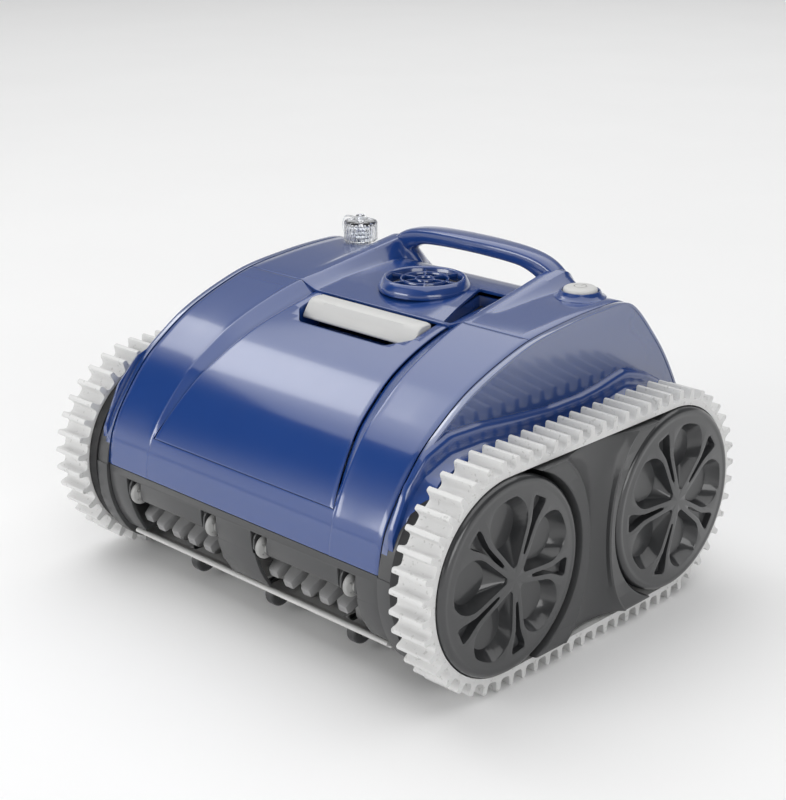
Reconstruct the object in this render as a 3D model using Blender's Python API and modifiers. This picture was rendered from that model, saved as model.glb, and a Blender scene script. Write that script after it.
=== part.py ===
"""Cordless track-driven pool cleaning robot, modelled as an assembly of separate pieces.

Lengths are in millimetres until a mesh is made. +X is the width, the front faces -Y, +Z is up, and the
origin lies on the ground under the middle of the machine. "left" is the +X side, as seen from behind.
"""

import math

import bmesh
import bpy
from mathutils import Matrix, Vector

MM = 0.001
GAP = 0.4                      # clearance between neighbouring pieces

# Tracks
HALF_BASE = 102.5              # half the wheelbase
AXLE_Z = 92.1                  # height of the wheel axles, equal to the tread's outer radius
TREAD_R = 92.1                 # paddle tips
BAND_OUT_R = 83.0
BAND_IN_R = 78.6
BELT_X = (185.0, 217.5)        # inner and outer edge of the belt
PADDLES = 64
WHEEL_R = 78.0
WHEEL_X = (186.5, 225.0)       # inner edge and domed middle of a wheel
WAIST_X = 223.5                # face of the block between the wheels
SHAFT_R = 6.0

# Body
COVER_X = 160.0                # half width of the top covers
WALL = 3.0
SEAM_Y = -17.0                 # seam between the front and the rear cover
FOOT_Z = 100.0                 # where the covers meet the bumpers
PANEL_X = (163.0, 167.0)       # plate of a side panel
FRAME_X = (167.5, 184.3)       # pan of a track frame
FRAME_R = 79.0                 # its rounded ends round the wheel axles

# Lid, latch and basket
LID_LOW_Z = 134.0
LID_GAP = 0.6
LID_HINGE = (-167.7, 136.2)    # y, z
LATCH_HALF = 64.0
LATCH_PIVOT = (-23.5, 231.0)   # y, z

# Brush
BRUSH_GEAR_DISTANCE = 48.0
BRUSH_Y = -141.0
BRUSH_Z = AXLE_Z - math.sqrt(BRUSH_GEAR_DISTANCE ** 2 - (BRUSH_Y + HALF_BASE) ** 2)
BRUSH_R = 25.8
BRUSH_CORE_R = 11.0
SLOT_X = (22.5, 136.0)
SLOT_Z = (30.0, 77.0)
NOTCH_Z = (74.0, 92.5)
FINS_PER_SLOT = 6
FIN_PITCH = 19.5
GUIDE_X = (30.3, 127.5)
GUIDE_Y = -173.0
GUIDE_Z = 80.0
SUPPORT_X = (-95.0, 0.0, 95.0)
SUPPORT_Y = -134.0
SUPPORT_Z = 17.0

# Top fittings
HANDLE_HALF = 103.0
HANDLE_TOP = 276.5
HANDLE_LOW = 262.0
HANDLE_FOOT = 236.0
GRILLE_Y = 40.0
GRILLE_R = 35.0
BUTTON = (130.0, 86.0)         # x, y
CAP = (-131.0, 94.0)           # x, y
PORT_R = (6.5, 9.0)            # bore and outside of the charge port's tube
CAP_R = (12.0, 15.5)           # inside and outside of its cap

COVER_FRONT = [(-180, 100), (-175.5, 126), (-164.5, 148), (-150, 168), (-133, 186.5), (-115, 200),
               (-95, 213), (-73, 223.5), (-44, 234), (SEAM_Y, 241.5)]
COVER_REAR = [(SEAM_Y, 241.5), (15, 246), (49, 249), (83, 250.2), (98, 249.4), (105, 247.6), (113, 243),
              (122, 234.5), (137, 218), (152, 200), (163.5, 184), (174, 167), (183, 149), (189, 126), (188, 100)]
# The sunken deck between the ridges, which falls away behind the handle as room for the fingers
DECK = [(SEAM_Y, 236), (15, 240.5), (49, 243.4), (83, 244.2), (93, 243.8), (99, 242.6), (106, 239.5), (118, 233),
        (134, 222.5)]
# Along the lid: y, half width of the lid, half width of the crest beside it, depth of the lid under the cover
RIDGE = [(-172, 106, 109, 0), (-164.5, 102.3, 108, 0.5), (-150, 97, 106, 1.3), (-133, 92.1, 104.5, 2.1),
         (-115, 88.1, 102.8, 2.7), (-95, 84.4, 100.3, 3.4), (-73, 81.2, 97, 4.1), (-44, 78.3, 93.5, 4.9),
         (SEAM_Y, 77, 92, 5.5)]
BUMPER_FRONT = [(-180, 99.3), (-179.5, 84), (-176, 66), (-170.5, 52), (-163, 39.5)]
BUMPER_REAR = [(188, 99.3), (185, 80), (178, 60), (166, 42), (150, 28), (134, 20)]
SIDE_LOWER = [(-182, 99.3), (-182, 84), (-179, 66), (-173, 50), (-163, 34), (-148, 19),
              (140, 19), (160, 30), (174, 48), (181, 72), (182, 99.3)]

BLUE = ("shell_blue", (0.012, 0.045, 0.19, 1), 0.22, 0.0)
CHARCOAL = ("charcoal_plastic", (0.055, 0.056, 0.058, 1), 0.45, 0.0)
BLACK = ("black_plastic", (0.02, 0.02, 0.021, 1), 0.35, 0.0)
TREAD_GREY = ("tread_grey", (0.62, 0.62, 0.60, 1), 0.55, 0.0)
LIGHT_GREY = ("light_grey_plastic", (0.60, 0.60, 0.58, 1), 0.4, 0.0)
BRISTLE = ("brush_rubber", (0.13, 0.13, 0.13, 1), 0.6, 0.0)
STEEL = ("stainless_steel", (0.55, 0.55, 0.56, 1), 0.3, 1.0)
CLEAR = ("clear_plastic", (0.8, 0.85, 0.88, 0.4), 0.08, 0.0)
GREEN = ("circuit_board", (0.02, 0.16, 0.06, 1), 0.5, 0.0)
MESH = ("filter_fabric", (0.5, 0.53, 0.56, 1), 0.8, 0.0)

AXIS_MATRIX = {
    "X": Matrix(((0, 0, 1, 0), (1, 0, 0, 0), (0, 1, 0, 0), (0, 0, 0, 1))),
    "Y": Matrix(((0, 1, 0, 0), (0, 0, 1, 0), (1, 0, 0, 0), (0, 0, 0, 1))),
    "Z": Matrix.Identity(4),
}

for old in list(bpy.data.objects):
    bpy.data.objects.remove(old, do_unlink=True)

BODY = bpy.data.collections.new("pool_cleaner")
CUTTERS = bpy.data.collections.new("cutters")
bpy.context.scene.collection.children.link(BODY)
bpy.context.scene.collection.children.link(CUTTERS)


# ---------------------------------------------------------------- helpers

def material(finish):
    """The Principled material of a (name, colour, roughness, metallic) finish."""
    name, colour, roughness, metallic = finish
    found = bpy.data.materials.get(name)
    if found:
        return found
    made = bpy.data.materials.new(name)
    made.use_nodes = True
    shader = made.node_tree.nodes["Principled BSDF"]
    shader.inputs["Base Color"].default_value = colour
    shader.inputs["Roughness"].default_value = roughness
    shader.inputs["Metallic"].default_value = metallic
    shader.inputs["Alpha"].default_value = colour[3]
    made.diffuse_color = colour
    return made


def keep(name, mesh, finish):
    """Links a mesh as one sub-part; without a finish it becomes a cutter."""
    made = bpy.data.objects.new(name, mesh)
    if finish is None:
        CUTTERS.objects.link(made)
        made.hide_render = True
        made.display_type = "WIRE"
        return made
    BODY.objects.link(made)
    mesh.materials.clear()
    mesh.materials.append(material(finish))
    return made


def tidy(mesh):
    """Welds loose caps and turns every face outwards."""
    work = bmesh.new()
    work.from_mesh(mesh)
    bmesh.ops.remove_doubles(work, verts=work.verts, dist=0.000002)
    bmesh.ops.recalc_face_normals(work, faces=work.faces)
    work.to_mesh(mesh)
    work.free()


def bake(source):
    """Applies an object's modifiers to its own mesh."""
    graph = bpy.context.evaluated_depsgraph_get()
    mesh = bpy.data.meshes.new_from_object(source.evaluated_get(graph))
    source.modifiers.clear()
    source.data = mesh
    return source


def prism(name, loops, axis, low, high, finish):
    """A flat outline with holes, extruded along an axis: X takes (y, z), Y takes (z, x), Z takes (x, y)."""
    curve = bpy.data.curves.new(name, "CURVE")
    curve.dimensions = "2D"
    curve.fill_mode = "BOTH"
    curve.extrude = (high - low) / 2 * MM
    for loop in loops:
        spline = curve.splines.new("POLY")
        spline.points.add(len(loop) - 1)
        spline.use_cyclic_u = True
        for point, (a, b) in zip(spline.points, loop):
            point.co = (a * MM, b * MM, 0, 1)
    holder = bpy.data.objects.new(name + "_outline", curve)
    CUTTERS.objects.link(holder)
    graph = bpy.context.evaluated_depsgraph_get()
    mesh = bpy.data.meshes.new_from_object(holder.evaluated_get(graph))
    mesh.transform(Matrix.Translation((0, 0, (low + high) / 2 * MM)))
    mesh.transform(AXIS_MATRIX[axis])
    tidy(mesh)
    bpy.data.objects.remove(holder, do_unlink=True)
    return keep(name, mesh, finish)


def turned(name, profile, axis, centre, finish, steps=32):
    """A (radius, height) profile turned about an axis through centre; it is closed where it misses the axis."""
    mesh = bpy.data.meshes.new(name)
    count = len(profile)
    edges = [(i, i + 1) for i in range(count - 1)]
    if profile[0][0] > 0:
        edges.append((count - 1, 0))
    mesh.from_pydata([(r * MM, 0, h * MM) for r, h in profile], edges, [])
    made = keep(name, mesh, finish)
    screw = made.modifiers.new("turn", "SCREW")
    screw.steps = screw.render_steps = steps
    screw.use_merge_vertices = True
    screw.merge_threshold = 0.00001
    bake(made)
    made.data.transform(AXIS_MATRIX[axis])
    made.data.transform(Matrix.Translation(Vector(centre) * MM))
    tidy(made.data)
    if finish is not None:
        if not made.data.materials:
            made.data.materials.append(material(finish))
        made.data.shade_smooth()
        made.data.set_sharp_from_angle(angle=math.radians(30))
    return made


def block(name, low, high, finish):
    """A box between two corners."""
    work = bmesh.new()
    size = [b - a for a, b in zip(low, high)]
    middle = [(a + b) / 2 for a, b in zip(low, high)]
    matrix = Matrix.Translation(Vector(middle) * MM) @ Matrix.Diagonal((*[s * MM for s in size], 1))
    bmesh.ops.create_cube(work, size=1, matrix=matrix)
    mesh = bpy.data.meshes.new(name)
    work.to_mesh(mesh)
    work.free()
    return keep(name, mesh, finish)


def rod(name, axis, centre, radius, low, high, finish, sides=16):
    """A cylinder along an axis; centre gives its axis line, low and high its ends."""
    profile = [(0, high), (radius, high), (radius, low), (0, low)]
    return turned(name, profile, axis, centre, finish, sides)


def wire(name, points, radius, finish, resolution=1):
    """A round wire along points."""
    curve = bpy.data.curves.new(name, "CURVE")
    curve.dimensions = "3D"
    curve.bevel_depth = radius * MM
    curve.bevel_resolution = resolution
    curve.use_fill_caps = True
    spline = curve.splines.new("POLY")
    spline.points.add(len(points) - 1)
    for point, (x, y, z) in zip(spline.points, points):
        point.co = (x * MM, y * MM, z * MM, 1)
    holder = bpy.data.objects.new(name + "_path", curve)
    CUTTERS.objects.link(holder)
    graph = bpy.context.evaluated_depsgraph_get()
    mesh = bpy.data.meshes.new_from_object(holder.evaluated_get(graph))
    tidy(mesh)
    bpy.data.objects.remove(holder, do_unlink=True)
    return keep(name, mesh, finish)


def combine(target, operation, *others):
    """Boolean of target with other objects, which become hidden cutters."""
    for other in others:
        for holder in list(other.users_collection):
            holder.objects.unlink(other)
        CUTTERS.objects.link(other)
        other.hide_render = True
        other.display_type = "WIRE"
        step = target.modifiers.new(other.name, "BOOLEAN")
        step.operation = operation
        step.solver = "EXACT"
        step.object = other
    return target


def cut(target, *others):
    return combine(target, "DIFFERENCE", *others)


def join(target, *others):
    return combine(target, "UNION", *others)


def mirrored(source, name):
    """The other side's copy of a left piece."""
    bake(source)
    mesh = source.data.copy()
    mesh.transform(Matrix.Scale(-1, 4, (1, 0, 0)))
    tidy(mesh)
    made = bpy.data.objects.new(name, mesh)
    BODY.objects.link(made)
    return made


def pivot(source, x, y, z):
    """Puts a moving piece's origin on its joint's axis."""
    bake(source)
    origin = Vector((x, y, z)) * MM
    source.data.transform(Matrix.Translation(-origin))
    source.location = origin
    return source


def offset(points, distance):
    """Moves a polyline sideways, to the right of its direction."""
    moved = []
    for i, (a, b) in enumerate(points):
        before = points[max(i - 1, 0)]
        after = points[min(i + 1, len(points) - 1)]
        da, db = after[0] - before[0], after[1] - before[1]
        length = math.hypot(da, db)
        moved.append((a + db / length * distance, b - da / length * distance))
    return moved


def circle(a, b, radius, steps, start=0.0, sweep=2 * math.pi):
    """Points round a circle, or along an arc when sweep is less than a turn (both ends included)."""
    whole = abs(sweep) >= 2 * math.pi - 1e-6
    last = steps if whole else steps - 1
    return [(a + radius * math.cos(start + sweep * i / last), b + radius * math.sin(start + sweep * i / last))
            for i in range(steps)]


def height_at(points, y):
    """Height of a polyline at y."""
    for (y0, z0), (y1, z1) in zip(points, points[1:]):
        if y0 <= y <= y1:
            return z0 + (z1 - z0) * (y - y0) / (y1 - y0)
    return points[-1][1]


# ---------------------------------------------------------------- top covers

def make_front_cover():
    """U-shaped shell whose crests fall away to the lid's edge on both sides of the opening."""
    first, last = RIDGE[0], RIDGE[-1]
    stations = [(*COVER_FRONT[0], first[1], first[2], 0), (*COVER_FRONT[1], first[1], first[2], 0)]
    foot_z = LID_LOW_Z - 2.4
    stations.append((-174, foot_z, first[1], first[2], 0))
    for y, half, crest, drop in RIDGE[1:-1]:
        stations.append((y, height_at(COVER_FRONT, y), half, crest, drop))
    stations.append((SEAM_Y + 2, COVER_FRONT[-1][1] + 0.5, *last[1:]))
    opening_row, edge = 2, 5
    points, faces = [], []
    for y, z, half, crest, drop in stations:
        foot = half + LID_GAP
        side = [(foot, drop), ((foot + crest) / 2, 0.45 * drop), (crest, 0), (crest + 12, 0), (COVER_X, 0)]
        row = [(-x, d) for x, d in reversed(side)] + side
        points += [(x * MM, y * MM, (z - d) * MM) for x, d in row]
    width = 2 * edge
    for i in range(len(stations) - 1):
        for j in range(width - 1):
            if i < opening_row or j != edge - 1:
                faces.append((i * width + j, i * width + j + 1, (i + 1) * width + j + 1, (i + 1) * width + j))
    mesh = bpy.data.meshes.new("front_cover")
    mesh.from_pydata(points, [], faces)
    tidy(mesh)
    cover = keep("front_cover", mesh, BLUE)
    if mesh.polygons[0].normal.y > 0:
        mesh.flip_normals()
    shell = cover.modifiers.new("shell", "SOLIDIFY")
    shell.thickness = WALL * MM
    shell.offset = -1
    seam = block("seam_trim", (-170, SEAM_Y, 200), (170, 0, 260), None)
    hinge = rod("cover_hinge_hole", "X", (0, *LID_HINGE), 1.4, -109.5, 109.5, None, 12)
    return cut(cover, seam, hinge)


def lid_profile():
    """The lid follows the cover at its foot and sinks towards the latch."""
    profile = [(RIDGE[0][0], LID_LOW_Z)]
    profile += [(y, height_at(COVER_FRONT, y) - drop) for y, half, crest, drop in RIDGE[1:]]
    profile[-1] = (SEAM_Y - 1.0, profile[-1][1])
    return profile


def make_lid():
    profile = lid_profile()
    lid = prism("filter_lid", [profile + offset(profile, WALL)[::-1]], "X", -120, 120, BLUE)
    side = [(RIDGE[0][1], -200)] + [(half, y) for y, half, crest, drop in RIDGE]
    trim = prism("lid_trim", [side + [(-x, y) for x, y in reversed(side)]], "Z", 120, 270, None)
    combine(lid, "INTERSECT", trim)
    bead = rod("lid_bead", "X", (0, *LID_HINGE), 2.4, -103.2, 103.2, None, 12)
    back, front = SEAM_Y - 1.0, -63.0
    top = [(y, height_at(profile, y) - 1.2) for y in (back, -24, -34, -44, -54, front)]
    tray = prism("latch_tray", [[(front, 205), (back, 205)] + top], "X", -70, 70, None)
    hollow = prism("latch_hollow", [[(-66, -45), (-47, -60), (47, -60), (66, -45), (66, -20), (-66, -20)]], "Z",
                   208, 260, None)
    behind = block("latch_back", (-66, -30, 228.6), (66, -10, 260), None)
    bore = rod("lid_hinge_bore", "X", (0, *LID_HINGE), 1.4, -110, 110, None, 12)
    pin_bore = rod("latch_pin_bore", "X", (0, *LATCH_PIVOT), 2.0, -69, 69, None, 12)
    join(lid, bead, tray)
    cut(lid, hollow, behind, bore, pin_bore)
    return pivot(lid, 0, *LID_HINGE)


def make_hinge_pins():
    pin = rod("lid_hinge_pin_left", "X", (0, *LID_HINGE), 1.0, 98, 108.5, STEEL, 12)
    mirrored(pin, "lid_hinge_pin_right")


def make_latch():
    y, z = LATCH_PIVOT
    outline = [(-20.8, 236), (-20.8, 229.6), (-27, 225.5), (-38.5, 218.5), (-42.5, 220.5), (-35.5, 233.5),
               (-33.5, 235)]
    bar = prism("latch_bar", [outline], "X", -LATCH_HALF, LATCH_HALF, LIGHT_GREY)
    cut(bar, rod("latch_bore", "X", (0, y, z), 1.9, -80, 80, None, 12))
    pivot(bar, 0, y, z)
    pin = rod("latch_pin", "X", (0, y, z), 1.5, -68.4, 68.4, STEEL, 12)
    pivot(pin, 0, y, z)


def handle_section(x):
    """The carry handle's section at x: an arched bar whose feet run down into the rear cover."""
    reach = abs(x) / HANDLE_HALF
    top = HANDLE_TOP - 4 * reach ** 2 - 14 * max(reach - 0.6, 0) / 0.4
    low = HANDLE_LOW - max(reach - 0.5, 0) / 0.2 * 15
    low = max(low, HANDLE_FOOT)
    front = 92 + 3 * reach
    rear = 117
    return [(front, low + 2), (front + 3, low), (rear - 2, low + 1), (rear, low + 5), (rear - 3, top - 3),
            (rear - 10, top), (front + 5, top - 1.5), (front, top - 6)]


def make_handle():
    """Arched bar lofted across the machine."""
    stations = [i * HANDLE_HALF / 7 for i in range(-7, 8)]
    work = bmesh.new()
    rings = []
    for x in stations:
        rings.append([work.verts.new((x * MM, y * MM, z * MM)) for y, z in handle_section(x)])
    for left, right in zip(rings, rings[1:]):
        for i in range(len(left)):
            j = (i + 1) % len(left)
            work.faces.new((left[i], left[j], right[j], right[i]))
    work.faces.new(rings[0])
    work.faces.new(rings[-1])
    bmesh.ops.recalc_face_normals(work, faces=work.faces)
    mesh = bpy.data.meshes.new("handle_bar")
    work.to_mesh(mesh)
    work.free()
    return keep("handle_bar", mesh, None)


def make_rail(side):
    """Ridge that rises from the seam to the handle's foot."""
    name = "rail_left" if side > 0 else "rail_right"
    work = bmesh.new()
    rings = []
    for y, inner, outer, top in ((SEAM_Y + 0.6, 92, 95, 241.2), (20, 89, 96, 248), (60, 86, 98, 255),
                                 (100, 84, 98, 260)):
        floor = height_at(COVER_REAR, y)
        ring = [(inner - 6, floor - 9), (inner, top), (outer, top), (outer + 5, floor - 1.5)]
        rings.append([work.verts.new((side * x * MM, y * MM, z * MM)) for x, z in ring])
    for a, b in zip(rings, rings[1:]):
        for i in range(4):
            j = (i + 1) % 4
            work.faces.new((a[i], a[j], b[j], b[i]))
    work.faces.new(rings[0])
    work.faces.new(rings[-1])
    bmesh.ops.recalc_face_normals(work, faces=work.faces)
    mesh = bpy.data.meshes.new(name)
    work.to_mesh(mesh)
    work.free()
    return keep(name, mesh, None)


def make_rear_cover():
    """Hollow shell with a sunken deck, two ridges, the carry handle and the holes of its fittings."""
    profile = [(SEAM_Y + 0.6, 241.5)] + COVER_REAR[1:]
    inside = offset(profile, WALL)
    cover = prism("rear_cover", [profile + [(SEAM_Y + 0.6, FOOT_Z)]], "X", -COVER_X, COVER_X, BLUE)
    side_room = [(SEAM_Y - 5, inside[0][1])] + inside[1:-1] + [(inside[-1][0], 90), (SEAM_Y - 5, 90)]
    low_deck = [(y, z - WALL) for y, z in DECK[:-1]]
    behind = [point for point in inside if point[0] > low_deck[-1][0] + 4]
    deck_under = [(SEAM_Y - 5, low_deck[0][1])] + low_deck[1:] + behind[:-1] + [(behind[-1][0], 90),
                                                                               (SEAM_Y - 5, 90)]
    for sign, name in ((-1, "room_right"), (1, "room_left")):
        low, high = sorted((sign * 96.0, sign * (COVER_X + 5)))
        cut(cover, prism(name, [side_room], "X", low, high, None))
    cut(cover, prism("room_middle", [deck_under], "X", -97, 97, None))
    recess = prism("deck_recess", [[(-40, DECK[0][1])] + DECK + [(150, 300), (-40, 300)]], "X", -100, 100, None)
    walls = prism("deck_plan", [[(-82, -40), (82, -40), (77, 92), (64, 112), (60, 150), (-60, 150), (-64, 112),
                                 (-77, 92)]], "Z", 200, 300, None)
    combine(recess, "INTERSECT", walls)
    cut(cover, recess)
    join(cover, make_handle(), make_rail(1), make_rail(-1))
    slot = prism("deck_slot", [[(69, -12), (78, -12), (76.5, 63), (42, 63)]], "Z", 225, 262, None)
    button_hole = rod("button_hole", "Z", (*BUTTON, 0), 14.8, 235, 270, None)
    port_hole = rod("port_hole", "Z", (*CAP, 0), PORT_R[1] + GAP, 235, 262, None)
    outlet = rod("outlet_hole", "Z", (0, GRILLE_Y, 0), 31.6, 225, 270, None)
    return cut(cover, slot, button_hole, port_hole, outlet)


def make_side_panel():
    """Blue side cover: an upright plate under the covers' edge, with a fender over the belt."""
    edge = COVER_FRONT + COVER_REAR[1:]
    outline = [(edge[0][0] - 2, FOOT_Z)] + edge[1:-1] + [(edge[-1][0] + 1, FOOT_Z)]
    panel = prism("side_panel_left", [outline], "X", *PANEL_X, BLUE)
    room = [(y * 0.955, 96 + (z - 96) * 0.955) for y, z in outline]
    room[0], room[-1] = (room[0][0], 90), (room[-1][0], 90)
    cut(panel, prism("panel_room", [room], "X", 150, PANEL_X[1] - 2.2, None))
    upper = circle(-HALF_BASE, AXLE_Z, 96, 8, math.radians(160), math.radians(-70))
    upper += circle(HALF_BASE, AXLE_Z, 96, 8, math.radians(90), math.radians(-70))
    fender = prism("fender", [upper + offset(upper, WALL)[::-1]], "X", PANEL_X[1] - 1.5, 184.3, None)
    join(panel, fender)
    mirrored(panel, "side_panel_right")


# ---------------------------------------------------------------- lower body

def guide_places():
    return sorted(side * x for side in (-1, 1) for x in GUIDE_X)


def make_bumpers():
    """Front bumper with two brush slots and the ears of the guide rollers; plain rear bumper."""
    front = prism("front_bumper", [BUMPER_FRONT + offset(BUMPER_FRONT, -WALL)[::-1]], "X",
                  -COVER_X, COVER_X, CHARCOAL)
    for side in (-1, 1):
        low, high = sorted((side * SLOT_X[0], side * SLOT_X[1]))
        cut(front, block(f"brush_slot_{side + 1}", (low, -200, SLOT_Z[0]), (high, -150, SLOT_Z[1]), None))
    for number, x in enumerate(guide_places(), 1):
        cut(front, block(f"guide_notch_{number}", (x - 7.6, -200, NOTCH_Z[0]), (x + 8.0, -168.5, NOTCH_Z[1]), None))
        for ear, shift in ((1, -7.2), (2, 7.6)):
            low, high = (x + shift - 0.8, -178.4, 75.5), (x + shift + 0.8, -167.5, 95)
            join(front, block(f"guide_ear_{number}_{ear}", low, high, None))
        cut(front, rod(f"guide_bore_{number}", "X", (0, GUIDE_Y, GUIDE_Z), 2.5, x - 9.5, x + 9.5, None, 12))
    prism("rear_bumper", [BUMPER_REAR + offset(BUMPER_REAR, WALL)[::-1]], "X", -COVER_X, COVER_X, CHARCOAL)


def make_hull():
    """Open tub between the track frames."""
    work = bmesh.new()
    low, high = (-158.0, -106.0, 22.0), (158.0, 128.0, 118.0)
    size = [b - a for a, b in zip(low, high)]
    middle = [(a + b) / 2 for a, b in zip(low, high)]
    matrix = Matrix.Translation(Vector(middle) * MM) @ Matrix.Diagonal((*[s * MM for s in size], 1))
    bmesh.ops.create_cube(work, size=1, matrix=matrix)
    top = [face for face in work.faces if face.normal.z > 0.5]
    bmesh.ops.delete(work, geom=top, context="FACES_ONLY")
    mesh = bpy.data.meshes.new("lower_hull")
    work.to_mesh(mesh)
    work.free()
    hull = keep("lower_hull", mesh, CHARCOAL)
    walls = hull.modifiers.new("walls", "SOLIDIFY")
    walls.thickness = WALL * MM
    walls.offset = -1
    cut(hull, block("mouth", (-60, -86, 10), (60, -44, 40), None))
    for side in (-1, 1):
        for end in (-1, 1):
            low_x, high_x = sorted((side * 150.0, side * 165.0))
            cut(hull, rod(f"hull_hole_{side + 1}{end + 1}", "X", (0, end * HALF_BASE, AXLE_Z), 9.0,
                          low_x, high_x, None, 16))


def make_track_frame():
    """Pan that carries the wheels, with the waisted block that fills the gap between them."""
    upper = circle(HALF_BASE, AXLE_Z, FRAME_R, 8, math.radians(5), math.radians(85))
    upper += circle(-HALF_BASE, AXLE_Z, FRAME_R, 8, math.radians(90), math.radians(85))
    outline = SIDE_LOWER + upper
    frame = prism("track_frame_left", [outline], "X", *FRAME_X, CHARCOAL)
    room = offset(outline + outline[:2], -WALL)[1:-1]
    cut(frame, prism("frame_room", [room], "X", 150, FRAME_X[1] - 5, None))
    collar_outline = circle(HALF_BASE, AXLE_Z, 24, 20)
    for end in (-1, 1):
        collar = prism(f"collar_{end + 1}", [[(y * end, z) for y, z in collar_outline]], "X", 173, FRAME_X[1],
                       None)
        join(frame, collar)
    near, far = WHEEL_R + 2.5, 76.5
    angle = math.asin(far / near)
    right = circle(-HALF_BASE, AXLE_Z, near, 13, angle, -2 * angle)
    left = circle(HALF_BASE, AXLE_Z, near, 13, math.pi + angle, -2 * angle)
    waist = prism("waist", [right + left], "X", FRAME_X[1] - 3, WAIST_X, None)
    small = [(y * 0.8, AXLE_Z + (z - AXLE_Z) * 0.9) for y, z in right + left]
    join(frame, waist)
    cut(frame, prism("waist_room", [small], "X", 150, WAIST_X - 3.5, None))
    for end in (-1, 1):
        cut(frame, rod(f"frame_bore_{end + 1}", "X", (0, end * HALF_BASE, AXLE_Z),
                       11.4 if end > 0 else SHAFT_R + 0.15, 160, 190, None, 24))
    cut(frame, rod("brush_bore", "X", (0, BRUSH_Y, BRUSH_Z), 5.2, 150, 182, None, 16))
    mirrored(frame, "track_frame_right")


def make_belt():
    """Toothed track belt: a closed band with paddles across its outside."""
    half_round = math.pi * BAND_OUT_R
    length = 4 * HALF_BASE + 2 * half_round

    def place(distance, radius):
        distance %= length
        if distance < 2 * HALF_BASE:
            return HALF_BASE - distance, AXLE_Z + radius
        distance -= 2 * HALF_BASE
        if distance < half_round:
            turn = math.pi / 2 + distance / BAND_OUT_R
            return -HALF_BASE + radius * math.cos(turn), AXLE_Z + radius * math.sin(turn)
        distance -= half_round
        if distance < 2 * HALF_BASE:
            return -HALF_BASE + distance, AXLE_Z - radius
        distance -= 2 * HALF_BASE
        turn = -math.pi / 2 + distance / BAND_OUT_R
        return HALF_BASE + radius * math.cos(turn), AXLE_Z + radius * math.sin(turn)

    outer = []
    pitch = length / PADDLES
    for i in range(PADDLES):
        start = (i + 0.5) * pitch
        for shift, radius in ((-0.22, BAND_OUT_R), (-0.12, TREAD_R), (0.12, TREAD_R), (0.22, BAND_OUT_R)):
            outer.append(place(start + shift * pitch, radius))
    inner = circle(-HALF_BASE, AXLE_Z, BAND_IN_R, 25, math.pi / 2, math.pi)
    inner += circle(HALF_BASE, AXLE_Z, BAND_IN_R, 25, -math.pi / 2, math.pi)
    belt = prism("track_belt_left", [outer, inner], "X", *BELT_X, TREAD_GREY)
    mirrored(belt, "track_belt_right")


def petal(angle):
    """Outline of one deep pocket of a wheel, in the wheel's own plane."""
    corners = [(22, -0.25), (50, -0.50), (64, -0.36), (64, 0.36), (50, 0.50), (22, 0.25)]
    return [(r * math.cos(angle + a), r * math.sin(angle + a)) for r, a in corners]


def make_wheel(name, end, turn):
    low, high = WHEEL_X
    profile = [(0, high), (12, high), (70, high - 3), (WHEEL_R, high - 7), (WHEEL_R, low), (73, low),
               (71, high - 14), (14, high - 14), (14, low + 2), (SHAFT_R + 0.35, low + 2),
               (SHAFT_R + 0.35, high - 9), (0, high - 9)]
    wheel = turned(name, profile, "X", (0, end * HALF_BASE, AXLE_Z), BLACK, 32)
    for i in range(5):
        outline = [(end * HALF_BASE + a, AXLE_Z + b) for a, b in petal(turn + i * 2 * math.pi / 5)]
        cut(wheel, prism(f"{name}_pocket_{i}", [outline], "X", high - 11, high + 5, None))
    return bake(wheel)


def make_wheels():
    for end, place, turn in ((-1, "front", 0.35), (1, "rear", 0.05)):
        wheel = make_wheel(f"{place}_wheel_left", end, turn)
        other = mirrored(wheel, f"{place}_wheel_right")
        y = end * HALF_BASE
        pivot(wheel, 0, y, AXLE_Z)
        pivot(other, 0, y, AXLE_Z)
        inner = 151.0 if end > 0 else 168.0
        shaft = rod(f"{place}_shaft_left", "X", (0, y, AXLE_Z), SHAFT_R, inner, WHEEL_X[1] - 10, STEEL)
        other = mirrored(shaft, f"{place}_shaft_right")
        pivot(shaft, 0, y, AXLE_Z)
        pivot(other, 0, y, AXLE_Z)
    ring = [(SHAFT_R + 0.1, 184.0), (11.0, 184.0), (11.0, 179.5), (SHAFT_R + 0.1, 179.5)]
    bearing = turned("drive_bearing_left", ring, "X", (0, HALF_BASE, AXLE_Z), STEEL, 24)
    mirrored(bearing, "drive_bearing_right")


# ---------------------------------------------------------------- brush

def gear_outline(y, z, teeth, radius, phase):
    points = []
    step = 2 * math.pi / teeth
    for i in range(teeth):
        middle = phase + i * step
        for shift, reach in ((-0.30, -2.3), (-0.11, 1.6), (0.11, 1.6), (0.30, -2.3)):
            angle = middle + shift * step
            points.append((y + (radius + reach) * math.cos(angle), z + (radius + reach) * math.sin(angle)))
    return points


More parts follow.
